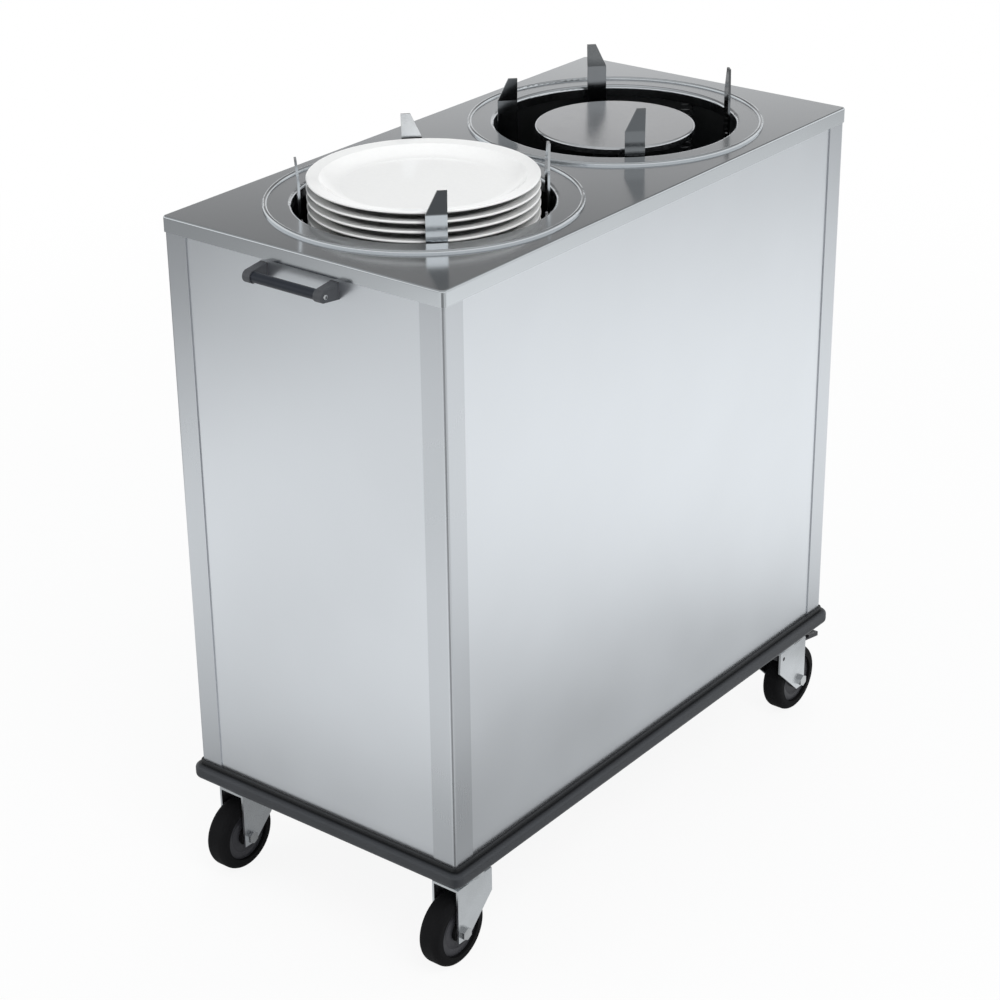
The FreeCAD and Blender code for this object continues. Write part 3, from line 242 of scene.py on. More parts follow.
# Finishes: waves to the metre, depths, and low and high shares of a colour or a roughness
texture_low = 0.3             # the middle range of a texture's values
texture_high = 0.7
steel_clouds = 5
steel_cloud_rough = (-0.06, 0.1)
plated_patches = 60
plated_rough = (0.8, 1.2)
plated_depth = 0.02 * mm
plastic_scuffs = 18
plastic_rough = (0.9, 1.15)
paint_peel = 420
paint_peel_depth = 0.05 * mm
paint_wear = 26
paint_shade = (0.88, 1.1)
paint_rough = (0.85, 1.15)
glaze_waves = 14
glaze_wave_depth = 0.4 * mm
glaze_specks = 240
glaze_shade = (0.985, 1.0)
glaze_roughness = (0.10, 0.16)
lens_prisms = 900
lens_prism_depth = 0.2 * mm
lens_shade = (0.75, 1.0)
lens_roughness = 0.12
lens_clearness = 0.35
lens_index = 1.49
polish_grain = 180
polish_depth = 0.01 * mm
polish_clouds = 9
polish_shade = (0.94, 1.0)
polish_rough = (0.85, 1.2)
ink_wear = 300
ink_shade = (0.85, 1.0)
ink_roughness = 0.5
white_print = (0.82, 0.82, 0.80)
dark_print = (0.03, 0.03, 0.035)


# Forms


def finished(name, bm, angle=sharp_angle):
    """The mesh of a built form, shaded smooth but for edges sharper than the angle."""
    mesh = bpy.data.meshes.new(name)
    bm.to_mesh(mesh)
    bm.free()
    smooth(mesh, angle)
    return mesh


def smooth(mesh, angle):
    """Rounds the shading, with edges sharper than the angle kept."""
    mesh.polygons.foreach_set("use_smooth", [True] * len(mesh.polygons))
    mesh.set_sharp_from_angle(angle=math.radians(angle))


def linked(name, data):
    """A new object in the scene."""
    obj = bpy.data.objects.new(name, data)
    bpy.context.scene.collection.objects.link(obj)
    return obj


def piece(name, mesh, material, body, matrix):
    """Puts a mesh in the scene as a piece that rides on a body."""
    if not mesh.materials:
        mesh.materials.append(material)
    obj = linked(name, mesh)
    obj.matrix_world = matrix
    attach(obj, body)


def circle_ring(radius, height, count=ring_points):
    """Points of a circle about Z."""
    steps = [2 * math.pi * i / count for i in range(count)]
    return [Vector((radius * math.cos(a), radius * math.sin(a), height)) for a in steps]


def hex_ring(across, height, count=ring_points):
    """Points of a hexagon about Z, evenly spread in angle."""
    points = []
    for i in range(count):
        angle = 2 * math.pi * i / count
        from_flat = (angle + math.pi / 6) % (math.pi / 3) - math.pi / 6
        radius = across / 2 / math.cos(from_flat)
        points.append(Vector((radius * math.cos(angle), radius * math.sin(angle), height)))
    return points


def cross_ring(reach, half_width, height, count=ring_points):
    """Points of a cross recess about Z."""
    least = 1e-6
    points = []
    for i in range(count):
        angle = 2 * math.pi * i / count
        c = max(abs(math.cos(angle)), least)
        s = max(abs(math.sin(angle)), least)
        radius = max(min(reach / c, half_width / s), min(reach / s, half_width / c))
        points.append(Vector((radius * math.cos(angle), radius * math.sin(angle), height)))
    return points


def skin(name, rings, closed=False, angle=sharp_angle):
    """A mesh through rings of points, with its ends capped, or joined where it is closed."""
    bm = bmesh.new()
    rows = [[bm.verts.new(point) for point in ring] for ring in rings]
    pairs = list(zip(rows, rows[1:]))
    if closed:
        pairs.append((rows[-1], rows[0]))
    else:
        bm.faces.new(list(reversed(rows[0])))
        bm.faces.new(rows[-1])
    count = len(rows[0])
    for lower, upper in pairs:
        for i in range(count):
            j = (i + 1) % count
            bm.faces.new((lower[i], lower[j], upper[j], upper[i]))
    bmesh.ops.recalc_face_normals(bm, faces=bm.faces)
    return finished(name, bm, angle)


def turned_ring(name, outline, count=2 * ring_points):
    """A ring turned about Z from a closed outline of (radius, height) pairs."""
    rings = [circle_ring(radius, height, count) for radius, height in outline]
    return skin(name, rings, closed=True)


def soft_block(name, size, edge, segments=1):
    """A block about the origin with eased edges."""
    bm = bmesh.new()
    bmesh.ops.create_cube(bm, size=1.0, matrix=Matrix.Diagonal((*size, 1.0)))
    bmesh.ops.bevel(
        bm, geom=bm.edges[:], offset=edge, segments=segments, affect="EDGES", profile=0.5
    )
    return finished(name, bm)


def touch(node, start, direction):
    """The place where a line meets a node's surface, and the surface's normal there."""
    mesh = frame["nodes"][node].data
    points = [v.co for v in mesh.vertices]
    tree = BVHTree.FromPolygons(points, [tuple(p.vertices) for p in mesh.polygons])
    place, normal, _, _ = tree.ray_cast(Vector(start), Vector(direction))
    return place, normal


def facing(place, outward, up=Z_AXIS):
    """A matrix whose Z points outward at a place, and whose Y points up along the surface."""
    z = Vector(outward).normalized()
    y = (up - up.dot(z) * z).normalized()
    x = y.cross(z)
    matrix = Matrix((x, y, z)).transposed().to_4x4()
    matrix.translation = place
    return matrix


# Materials


def new_material(name):
    """A new principled material, its node tree and its shader."""
    material = bpy.data.materials.new(name)
    material.use_nodes = True
    tree = material.node_tree
    return material, tree, tree.nodes["Principled BSDF"]


def texture(tree, kind, per_metre):
    """A texture on the object's own coordinates: waves to the metre, alike or for each axis."""
    place = tree.nodes.new("ShaderNodeTexCoord")
    mapping = tree.nodes.new("ShaderNodeMapping")
    each_axis = per_metre if isinstance(per_metre, tuple) else (per_metre,) * 3
    mapping.inputs["Scale"].default_value = each_axis
    node = tree.nodes.new(kind)
    node.inputs["Scale"].default_value = 1.0
    tree.links.new(place.outputs["Object"], mapping.inputs["Vector"])
    tree.links.new(mapping.outputs["Vector"], node.inputs["Vector"])
    return node


def noise(tree, per_metre, detail, roughness=0.5):
    """The value of a noise texture."""
    node = texture(tree, "ShaderNodeTexNoise", per_metre)
    node.inputs["Detail"].default_value = detail
    node.inputs["Roughness"].default_value = roughness
    return node.outputs["Fac"]


def cells(tree, per_metre):
    """The distance from the middle of the cells of a cell texture."""
    return texture(tree, "ShaderNodeTexVoronoi", per_metre).outputs["Distance"]


def spread(tree, source, low, high):
    """Maps a texture's middle range onto low to high."""
    node = tree.nodes.new("ShaderNodeMapRange")
    node.inputs["From Min"].default_value = texture_low
    node.inputs["From Max"].default_value = texture_high
    node.inputs["To Min"].default_value = low
    node.inputs["To Max"].default_value = high
    tree.links.new(source, node.inputs["Value"])
    return node.outputs["Result"]


def arithmetic(tree, operation, first, second=0.0, clamp=False):
    """A math node on sockets or plain numbers."""
    node = tree.nodes.new("ShaderNodeMath")
    node.operation = operation
    node.use_clamp = clamp
    for socket, value in zip(node.inputs, (first, second)):
        if isinstance(value, float):
            socket.default_value = value
        else:
            tree.links.new(value, socket)
    return node.outputs["Value"]


def stops(tree, source, places):
    """A grey through stops of (value, grey), by a value."""
    start = places[0][0]
    end = places[-1][0]
    share = tree.nodes.new("ShaderNodeMapRange")
    share.inputs["From Min"].default_value = start
    share.inputs["From Max"].default_value = end
    tree.links.new(source, share.inputs["Value"])
    node = tree.nodes.new("ShaderNodeValToRGB")
    node.color_ramp.interpolation = "EASE"
    elements = node.color_ramp.elements
    for number, (value, grey) in enumerate(places):
        if number == 0:
            element = elements[0]
        elif number == len(places) - 1:
            element = elements[-1]
        else:
            element = elements.new((value - start) / (end - start))
        element.color = (grey, grey, grey, 1)
    tree.links.new(share.outputs["Result"], node.inputs["Fac"])
    return node.outputs["Color"]


def tint(tree, source, dark, light):
    """A colour between dark and light, by a texture."""
    node = tree.nodes.new("ShaderNodeMix")
    node.data_type = "RGBA"
    node.inputs["A"].default_value = (*dark, 1)
    node.inputs["B"].default_value = (*light, 1)
    tree.links.new(spread(tree, source, 0.0, 1.0), node.inputs["Factor"])
    return node.outputs["Result"]


def scaled(colour, share):
    """A colour made darker or lighter."""
    return tuple(min(1.0, c * share) for c in colour)


def colour_by(tree, shader, source, colour, shares):
    """Gives the shader a colour between two shares of one, by a texture."""
    dark, light = (scaled(colour, share) for share in shares)
    tree.links.new(tint(tree, source, dark, light), shader.inputs["Base Color"])


def rough_by(tree, shader, source, roughness, shares):
    """Gives the shader a roughness between two shares of one, by a texture."""
    low, high = (share * roughness for share in shares)
    tree.links.new(spread(tree, source, low, high), shader.inputs["Roughness"])


def bump(tree, shader, source, strength, distance):
    """Gives the shader a bump from a texture."""
    node = tree.nodes.new("ShaderNodeBump")
    node.inputs["Strength"].default_value = strength
    node.inputs["Distance"].default_value = distance
    tree.links.new(source, node.inputs["Height"])
    tree.links.new(node.outputs["Normal"], shader.inputs["Normal"])


def own_axes(tree):
    """The object's own X, Y and Z, as sockets by name, and the place they come from."""
    place = tree.nodes.new("ShaderNodeTexCoord")
    axes = tree.nodes.new("ShaderNodeSeparateXYZ")
    tree.links.new(place.outputs["Object"], axes.inputs["Vector"])
    return axes.outputs, place.outputs["Object"]


def darker_above(material, slot, height, fade, share):
    """Darkens a material's colour to a share of its slot's own above a height, with a soft step."""
    tree = material.node_tree
    shader = tree.nodes["Principled BSDF"]
    plain = shader.inputs["Base Color"].links[0].from_socket
    axes, _ = own_axes(tree)
    step = tree.nodes.new("ShaderNodeMapRange")
    step.interpolation_type = "SMOOTHSTEP"
    step.inputs["From Min"].default_value = height - fade / 2
    step.inputs["From Max"].default_value = height + fade / 2
    tree.links.new(axes["Z"], step.inputs["Value"])
    mix = tree.nodes.new("ShaderNodeMix")
    mix.data_type = "RGBA"
    mix.inputs["B"].default_value = (*scaled(colour_of[slot], share), 1)
    tree.links.new(step.outputs["Result"], mix.inputs["Factor"])
    tree.links.new(plain, mix.inputs["A"])
    tree.links.new(mix.outputs["Result"], shader.inputs["Base Color"])


def steel(
    slot, roughness, grain, grain_depth, cloud=0.05, colour_share=1.0, relief=0.25, streak=0.07
):
    """Stainless steel with a brushed grain along one way and faint clouding."""
    material, tree, shader = new_material(slot)
    colour = scaled(colour_of[slot], colour_share)
    shader.inputs["Metallic"].default_value = 1.0
    lines = noise(tree, grain, detail=3.0, roughness=0.6)
    clouds = noise(tree, steel_clouds, detail=2.0)
    colour_by(tree, shader, clouds, colour, (1 - cloud, 1.0))
    fine = spread(tree, lines, (1 - streak) * roughness, (1 + streak) * roughness)
    broad = spread(tree, clouds, *(share * roughness for share in steel_cloud_rough))
    tree.links.new(arithmetic(tree, "ADD", fine, broad), shader.inputs["Roughness"])
    bump(tree, shader, lines, relief, grain_depth)
    return material


def guide_blade(name, blade_reflection_share, tip_reflection_share):
    """Polished blade steel with painted reflection: the blade and its tip set to shares of the colour for what
    each mirrors.
    """
    slot = "guide_steel"
    material = steel(
        slot, roughness=0.12, grain=(700, 700, 10), grain_depth=0.004 * mm, colour_share=blade_reflection_share
    )
    # Painted reflection: the tip gets a colour of its own, apart from the blade's
    darker_above(material, slot, cad_high.z - guide_tip_height, guide_tip_fade, tip_reflection_share)
    material.name = name
    return material


def deck_sheet(name):
    """Polished deck steel, with painted light: the folded lip brighter than the top."""
    slot = "deck_steel"
    material = steel(
        slot, roughness=0.13, grain=deck_grain, grain_depth=deck_grain_depth,
        colour_share=deck_lip_painted_light,
    )
    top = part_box("deck")[1].z
    darker_above(material, slot, top - deck_fold_height, deck_fold_height, share=1.0)
    material.name = name
    return material


def plated(slot, roughness, grain, cloud=0.12):
    """Plated or plain metal with a fine grain and patches."""
    material, tree, shader = new_material(slot)
    shader.inputs["Metallic"].default_value = 1.0
    specks = noise(tree, grain, detail=4.0)
    patches = cells(tree, plated_patches)
    colour_by(tree, shader, patches, colour_of[slot], (1 - cloud, 1.0))
    rough_by(tree, shader, specks, roughness, plated_rough)
    bump(tree, shader, specks, strength=0.2, distance=plated_depth)
    return material


def plastic(slot, roughness, grain, depth, wear=0.25, coat=0.0, shine=0.5, colour_share=1.0):
    """Moulded plastic, vinyl or rubber: a fine grain, and paler scuffed patches."""
    material, tree, shader = new_material(slot)
    colour = scaled(colour_of[slot], colour_share)
    specks = noise(tree, grain, detail=3.0)
    scuffs = noise(tree, plastic_scuffs, detail=5.0, roughness=0.65)
    colour_by(tree, shader, scuffs, colour, (1.0, 1 + wear))
    rough_by(tree, shader, scuffs, roughness, plastic_rough)
    shader.inputs["Coat Weight"].default_value = coat
    shader.inputs["Specular IOR Level"].default_value = shine
    bump(tree, shader, specks, strength=0.3, distance=depth)
    return material


def bumper_vinyl(slot):
    """Soft black vinyl, with painted shade darkening the step along its top edge."""
    material = plastic(
        slot, roughness=0.40, grain=700, depth=0.03 * mm, wear=0.3, shine=0.55, colour_share=1.15
    )
    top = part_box("bumper")[1].z
    # Painted shade in the step along the top edge
    darker_above(material, slot, top - bumper_lip_height, bumper_lip_fade, bumper_lip_painted_shade)
    return material


def painted(slot, roughness, metal=0.35):
    """Painted or cast metal with orange peel."""
    material, tree, shader = new_material(slot)
    peel = noise(tree, paint_peel, detail=2.0)
    wear = noise(tree, paint_wear, detail=5.0)
    shader.inputs["Metallic"].default_value = metal
    colour_by(tree, shader, wear, colour_of[slot], paint_shade)
    rough_by(tree, shader, wear, roughness, paint_rough)
    bump(tree, shader, peel, strength=0.25, distance=paint_peel_depth)
    return material


def frame_paint(slot):
    """Painted steel, with painted shade darkening its top edge where the panels stand on the frame."""
    material = painted(slot, roughness=0.5)
    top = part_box("base_frame")[1].z
    joint = top - panel_joint_height
    # Painted shade on the ledge below the panels
    darker_above(material, slot, joint, panel_joint_height, panel_joint_painted_shade)
    return material


def ceramic(slot):
    """White glazed ware: a soft waviness under a glossy glaze, and shade between the rims."""
    material, tree, shader = new_material(slot)
    colour = colour_of[slot]
    waves = noise(tree, glaze_waves, detail=1.0)
    specks = noise(tree, glaze_specks, detail=2.0)
    gap = tree.nodes.new("ShaderNodeAmbientOcclusion")
    gap.samples = plate_gap_samples
    gap.inputs["Distance"].default_value = plate_gap_reach
    dark, light = (scaled(colour, share) for share in glaze_shade)
    mix = tree.nodes.new("ShaderNodeMix")
    mix.data_type = "RGBA"
    mix.inputs["A"].default_value = (*scaled(colour, plate_gap_shade), 1)
    tree.links.new(spread(tree, gap.outputs["AO"], 0.0, 1.0), mix.inputs["Factor"])
    tree.links.new(tint(tree, specks, dark, light), mix.inputs["B"])
    tree.links.new(mix.outputs["Result"], shader.inputs["Base Color"])
    tree.links.new(spread(tree, specks, *glaze_roughness), shader.inputs["Roughness"])
    bump(tree, shader, waves, strength=0.08, distance=glaze_wave_depth)
    return material


def lens(slot):
    """Amber lamp lens with a moulded prism pattern."""
    material, tree, shader = new_material(slot)
    prisms = cells(tree, lens_prisms)
    colour_by(tree, shader, prisms, colour_of[slot], lens_shade)
    shader.inputs["Roughness"].default_value = lens_roughness
    shader.inputs["Transmission Weight"].default_value = lens_clearness
    shader.inputs["IOR"].default_value = lens_index
    bump(tree, shader, prisms, strength=0.5, distance=lens_prism_depth)
    return material


def polished(slot, roughness):
    """Polished plate steel with a fine even grain and soft clouds."""
    material, tree, shader = new_material(slot)
    shader.inputs["Metallic"].default_value = 1.0
    specks = noise(tree, polish_grain, detail=3.0)
    clouds = noise(tree, polish_clouds, detail=3.0)
    colour_by(tree, shader, clouds, colour_of[slot], polish_shade)
    rough_by(tree, shader, specks, roughness, polish_rough)
    bump(tree, shader, specks, strength=0.1, distance=polish_depth)
    return material


def ink(name, colour):
    """Print for scales and marks, slightly worn."""
    material, tree, shader = new_material(name)
    colour_by(tree, shader, noise(tree, ink_wear, detail=3.0), colour, ink_shade)
    shader.inputs["Roughness"].default_value = ink_roughness
    return material


# By slot. A steel's grain runs along the axis with the fewest waves.
materials = {
    "deck_steel": steel(
        "deck_steel", roughness=0.17, grain=deck_grain, grain_depth=deck_grain_depth
    ),
    "panel_steel": steel(
        "panel_steel", roughness=0.30, grain=(9, 9, 1400), grain_depth=0.001 * mm,
        colour_share=1.06, relief=0.05, streak=0.015,
    ),
    "post_steel": steel(
        "post_steel", roughness=0.28, grain=(1400, 1400, 9), grain_depth=0.001 * mm,
        colour_share=0.94, relief=0.03, streak=0.01,
    ),
    "frame_steel": frame_paint("frame_steel"),
    "bumper_vinyl": bumper_vinyl("bumper_vinyl"),
    "handle_plastic": plastic(
        "handle_plastic", roughness=0.36, grain=900, depth=0.02 * mm, shine=0.3
    ),
    "bracket_metal": painted("bracket_metal", roughness=0.5, metal=0.0),
    "can_steel": steel(
        "can_steel", roughness=0.42, grain=(240, 240, 6), grain_depth=0.02 * mm, cloud=0.2
    ),
    "carrier_steel": polished("carrier_steel", roughness=0.2),
    "spider_steel": plated("spider_steel", roughness=0.38, grain=500),
    "spring_steel": plated("spring_steel", roughness=0.4, grain=900),
    # The other blades: steel with painted reflection on the tip
    "guide_steel": guide_blade("guide_steel", *bright_blade_reflection),
    "heater_sheath": plated("heater_sheath", roughness=0.45, grain=400, cloud=0.3),
    "conduit_metal": plated("conduit_metal", roughness=0.4, grain=400),
    "control_steel": steel(
        "control_steel", roughness=0.3, grain=(900, 900, 12), grain_depth=0.01 * mm
    ),
    "black_plastic": plastic("black_plastic", roughness=0.42, grain=800, depth=0.04 * mm),
    "rocker_plastic": plastic(
        "rocker_plastic", roughness=0.25, grain=800, depth=0.02 * mm, coat=0.3
    ),
    "lamp_lens": lens("lamp_lens"),
    "plate_ceramic": ceramic("plate_ceramic"),
    "caster_zinc": plated("caster_zinc", roughness=0.32, grain=900, cloud=0.04),
    "caster_bolt": plated("caster_bolt", roughness=0.25, grain=700),
    "tyre_rubber": plastic(
        "tyre_rubber", roughness=0.6, grain=500, depth=0.06 * mm, shine=0.06, colour_share=0.65
    ),
    "pedal_steel": painted("pedal_steel", roughness=0.4),
}
white_ink = ink("white_ink", white_print)
dark_ink = ink("dark_ink", dark_print)

# Nodes that differ from the others of their slot
own_material = {
    "deck": deck_sheet("deck_sheet"),
    # The nearest blade and the far silo's blades: painted reflection, each with its own shades
    "plate_guide_front_4": guide_blade("guide_near_painted_reflection", *near_blade_reflection),
}
far_blade_painted_reflection = guide_blade("guide_far_painted_reflection", *far_blade_reflection)
for node in frame["nodes"]:
    if node.startswith("plate_guide_rear_"):
        own_material[node] = far_blade_painted_reflection

for node, obj in frame["nodes"].items():
    obj.data.materials.clear()
    obj.data.materials.append(own_material.get(node, materials[slot_of[node]]))


# Small fasteners


def pan_screw(name, radius, height):
    """A pan head with a cross recess, standing on Z = 0."""
    rings = [circle_ring(out * radius, up * height) for out, up in pan_outline]
    for reach, half_width, up in pan_recess:
        rings.append(cross_ring(reach * radius, half_width * radius, up * height))
    return skin(name, rings, angle=screw_sharp_angle)


def hex_bolt(name, across, height, washer):
    """A hexagon head on a washer, standing on Z = 0."""
    rings = [
        circle_ring(bolt_washer_share * across, 0),
        circle_ring(bolt_washer_share * across, washer),
        hex_ring(across, washer),
        hex_ring(across, washer + bolt_flat_share * height),
        circle_ring(bolt_crown_share * across, washer + height),
    ]
    return skin(name, rings, angle=bolt_sharp_angle)


panel_screw = pan_screw("panel_screw", panel_screw_radius, panel_screw_height)
bracket_screw = pan_screw("bracket_screw", bracket_screw_radius, bracket_screw_height)
plate_bolt = hex_bolt("plate_bolt", 2 * plate_bolt_radius, plate_bolt_height, washer_height)


def fastener(name, mesh, matrix):
    """A bright screw, bolt head or ring on the cabinet."""
    piece(name, mesh, materials["caster_bolt"], "cabinet", matrix)


def rear_panel_screws():
    """Screws along the rear panel's side edges, and in the control plate's corners."""
    low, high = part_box("rear_panel")
    post_low, post_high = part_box("corner_posts")
    bottom = low.z + panel_screw_margin
    step = (high.z - panel_screw_margin - bottom) / (panel_screw_count - 1)
    for side, x in zip(SIDES, (post_low.x + panel_screw_inset, post_high.x - panel_screw_inset)):
        for i in range(panel_screw_count):
            place = facing((x, post_high.y, bottom + i * step), Y_AXIS)
            fastener(f"rear_screw_{side}_{i + 1}", panel_screw, place)
    low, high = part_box("control_plate")
    for i, x in enumerate((low.x + control_screw_margin, high.x - control_screw_margin)):
        for j, z in enumerate((low.z + control_screw_margin, high.z - control_screw_margin)):
            place = facing((x, high.y, z), Y_AXIS)
            fastener(f"control_screw_{2 * i + j + 1}", bracket_screw, place)


def handle_screws():
    """A screw in the nose of each handle bracket, holding the bar."""
    low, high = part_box("handle_brackets")
    bar_low, bar_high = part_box("handle_bar")
    middle = (bar_low + bar_high) / 2
    for side, x, out in (("left", low.x, -1), ("right", high.x, 1)):
        place = facing((x, middle.y, middle.z), out * X_AXIS)
        fastener(f"handle_screw_{side}", bracket_screw, place)


def caster_bolts():
    """Four bolts through each caster's top plate, with their heads below it."""
    low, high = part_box("caster_plates")
    half_x = caster_plate_width / 2
    half_y = caster_plate_length / 2
    for end, y in zip(ENDS, (low.y + half_y, high.y - half_y)):
        for side, x in zip(SIDES, (low.x + half_x, high.x - half_x)):
            for number, (across, along) in enumerate(CORNERS):
                spot = Vector((
                    x + across * (half_x - plate_bolt_margin),
                    y + along * (half_y - plate_bolt_margin),
                    high.z - caster_plate_sheet,
                ))
                place = facing(spot, -Z_AXIS, up=Y_AXIS)
                fastener(f"caster_bolt_{end}_{side}_{number + 1}", plate_bolt, place)


rear_panel_screws()
handle_screws()
caster_bolts()


# Carrier springs


def mesh_of(name, curve):
    """The mesh of a curve or of a line of text."""
    holder = bpy.data.objects.new(name, curve)
    mesh = bpy.data.meshes.new_from_object(holder)
    mesh.name = name
    bpy.data.objects.remove(holder)
    return mesh


def spring_mesh(name, low, high, coil_radius):
    """A spring wound from one unbroken wire along Z, drawn in to its axis at both ends."""
    steps = spring_turns * spring_points_per_turn
    curve = bpy.data.curves.new(name, "CURVE")
    curve.dimensions = "3D"
    curve.bevel_depth = spring_wire_radius
    curve.bevel_resolution = spring_wire_facets
    curve.use_fill_caps = True
    spline = curve.splines.new("POLY")
    spline.points.add(steps)
    for i in range(steps + 1):
        share = i / steps
        drawn = min(1.0, min(share, 1 - share) / spring_end_share)
        radius = coil_radius * drawn * drawn * (3 - 2 * drawn)
        angle = 2 * math.pi * spring_turns * share
        across = Vector((radius * math.cos(angle), radius * math.sin(angle), 0))
        spline.points[i].co = (*(low.lerp(high, share) + across), 1)
    mesh = mesh_of(name, curve)
    smooth(mesh, spring_sharp_angle)
    return mesh


def carrier_springs():
    """The springs that carry each silo's plates, stretched between the cabinet and the carrier."""
    for silo in SILOS:
        node = f"carrier_springs_{silo}"
        low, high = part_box(node)
        radius = (high.x - low.x) / 2
        middle = (low.x + high.x) / 2
        for number, y in enumerate((low.y + radius, high.y - radius)):
            name = f"spring_{silo}_{number + 1}"
            bottom = Vector((middle, y, low.z))
            top = Vector((middle, y, high.z))
            mesh = spring_mesh(name, bottom, top, radius - spring_wire_radius)
            mesh.materials.append(materials["spring_steel"])
            obj = linked(name, mesh)
            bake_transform(obj)
            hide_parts(node)


carrier_springs()


# Controls


def printed(name, text, size, material, body, matrix):
    """Flat print of a few characters, as a mesh."""
    curve = bpy.data.curves.new(name, "FONT")
    curve.body = text
    curve.size = size
    curve.align_x = "CENTER"
    curve.align_y = "CENTER"
    curve.extrude = print_height / 2
    curve.resolution_u = digit_curve_points
    mesh = mesh_of(name, curve)
    mesh.materials.clear()
    piece(name, mesh, material, body, matrix)


def dial_direction(angle):
    """The way a knob's pointer looks after a turn about Y."""
    turn = math.radians(angle)
    return Vector((math.sin(turn), 0, math.cos(turn)))


def dials():
    """Ticks and plain numbers on the control plate round each knob, and the knob's pointer."""
    turn = {joint["name"]: joint.get("range_deg") for joint in frame["joints"]}
    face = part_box("control_plate")[1].y
    size = (dial_tick_width, dial_tick_length, 2 * print_height)
    tick = soft_block("dial_tick", size, print_edge)
    for silo in SILOS:
        low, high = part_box(f"thermostat_knob_{silo}")
        middle = (low + high) / 2
        middle.y = face
        radius = (high.x - low.x) / 2
        tick_radius = radius + dial_gap
        digit_radius = tick_radius + dial_tick_length + digit_gap_share * digit_size
        start, stop = turn[f"knob_{silo}_turn"]
        for step in range(dial_steps + 1):
            angle = start + (stop - start) * step / dial_steps
            out = dial_direction(angle)
            place = facing(middle + tick_radius * out, Y_AXIS, up=out)
            piece(f"dial_tick_{silo}_{step}", tick, dark_ink, "cabinet", place)
            if step % 2 == 0:
                out = dial_direction(dial_off_turn if step == 0 else angle)
                place = facing(middle + digit_radius * out, Y_AXIS)
                name = f"dial_number_{silo}_{step}"
                printed(name, str(step), digit_size, dark_ink, "cabinet", place)
        size = (pointer_width, pointer_length_share * radius, 2 * print_height)
        line = soft_block(f"knob_pointer_{silo}", size, print_edge)
        spot = Vector((middle.x, high.y, middle.z + pointer_place_share * radius))
        place = facing(spot, Y_AXIS)
        piece(line.name, line, white_ink, f"knob_{silo}", place)


def rocker_marks():
    """The ring on the rocker's off half and the bar on its other half."""
    low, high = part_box("rocker_switch")
    middle = (low + high) / 2
    inner = mark_ring_radius - mark_width / 2
    outer = mark_ring_radius + mark_width / 2
    outline = (
        (inner, -print_height), (outer, -print_height), (outer, print_height), (inner, print_height)
    )
    ring = turned_ring("rocker_ring", outline, mark_ring_points)
    bar = soft_block("rocker_bar", (mark_width, mark_bar_length, 2 * print_height), print_edge)
    for mesh, rise in ((ring, mark_reach), (bar, -mark_reach)):
        before = (middle.x, 2 * high.y, middle.z + rise)
        place, normal = touch("rocker_switch", before, -Y_AXIS)
        piece(mesh.name, mesh, white_ink, "rocker", facing(place, normal))


def lamp_rings():
    """A bright ring round each pilot lamp."""
    low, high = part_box("pilot_lamps")
    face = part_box("control_plate")[1].y
    mesh = turned_ring("lamp_ring", [
        (lamp_flange_radius + out * lamp_ring_width, up * lamp_ring_height)
        for out, up in lamp_ring_outline
    ])
    for silo, x in zip(SILOS, (low.x + lamp_flange_radius, high.x - lamp_flange_radius)):
        place = facing((x, face, (low.z + high.z) / 2), Y_AXIS)
        fastener(f"lamp_ring_{silo}", mesh, place)


dials()
rocker_marks()
lamp_rings()


# Wheels and pedals


def wheel_discs():
    """The moulded disc in the dish of each wheel's sides, with a groove round it."""
    span = hub_disc_outer - hub_disc_inner
    outline = [
        (hub_disc_inner + out * span, up * hub_disc_height) for out, up in hub_disc_outline
    ]
    mesh = turned_ring("wheel_disc", outline, hub_disc_points)
    plastic_slot = "black_plastic"
    for end in ENDS:
        for side in SIDES:
            low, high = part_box(f"caster_wheel_{end}_{side}")
            middle = (low + high) / 2
            reach = (high.x - low.x) / 2 - web_from_hub_face
            for number, out in enumerate((-1, 1)):
                place = facing(middle + out * reach * X_AXIS, out * X_AXIS)
                name = f"wheel_disc_{end}_{side}_{number + 1}"
                body = f"wheel_{end}_{side}"
                piece(name, mesh, materials[plastic_slot], body, place)


def pedal_ribs():
    """Ribs across each pedal's tread, for the shoe's grip."""
    size = (pedal_rib_length, pedal_rib_width, pedal_rib_height)
    mesh = soft_block("pedal_rib", size, pedal_rib_edge, segments=3)
    for side in SIDES:
        node = f"brake_pedal_{side}"
        low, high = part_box(node)
        for i in range(pedal_rib_count):
            along = high.y - (i + pedal_rib_start) * pedal_rib_spacing
            place, normal = touch(node, ((low.x + high.x) / 2, along, 2 * high.z), -Z_AXIS)
            name = f"pedal_rib_{side}_{i + 1}"
            matrix = facing(place, normal, up=Y_AXIS)
            piece(name, mesh, materials["pedal_steel"], f"pedal_{side}", matrix)


wheel_discs()
pedal_ribs()


# Studio


def sheet(name, width, height):
    """A flat sheet about the origin, as a studio object."""
    x = width / 2
    y = height / 2
    mesh = bpy.data.meshes.new(name)
    mesh.from_pydata([(-x, -y, 0), (x, -y, 0), (x, y, 0), (-x, y, 0)], [], [(0, 1, 2, 3)])
    return linked(name, mesh)


def stage_material(obj):
    """A new material on a studio object: its node tree, cleared, and the output."""
    material = bpy.data.materials.new(obj.name)
    material.use_nodes = True
    tree = material.node_tree
    tree.nodes.clear()
    obj.data.materials.append(material)
    return tree, tree.nodes.new("ShaderNodeOutputMaterial")


def vector_math(tree, operation, first, second=None):
    """A vector math node on a socket, and on a fixed vector where one is given."""
    node = tree.nodes.new("ShaderNodeVectorMath")
    node.operation = operation
    tree.links.new(first, node.inputs[0])
    if second is not None:
        node.inputs[1].default_value = second
    return node


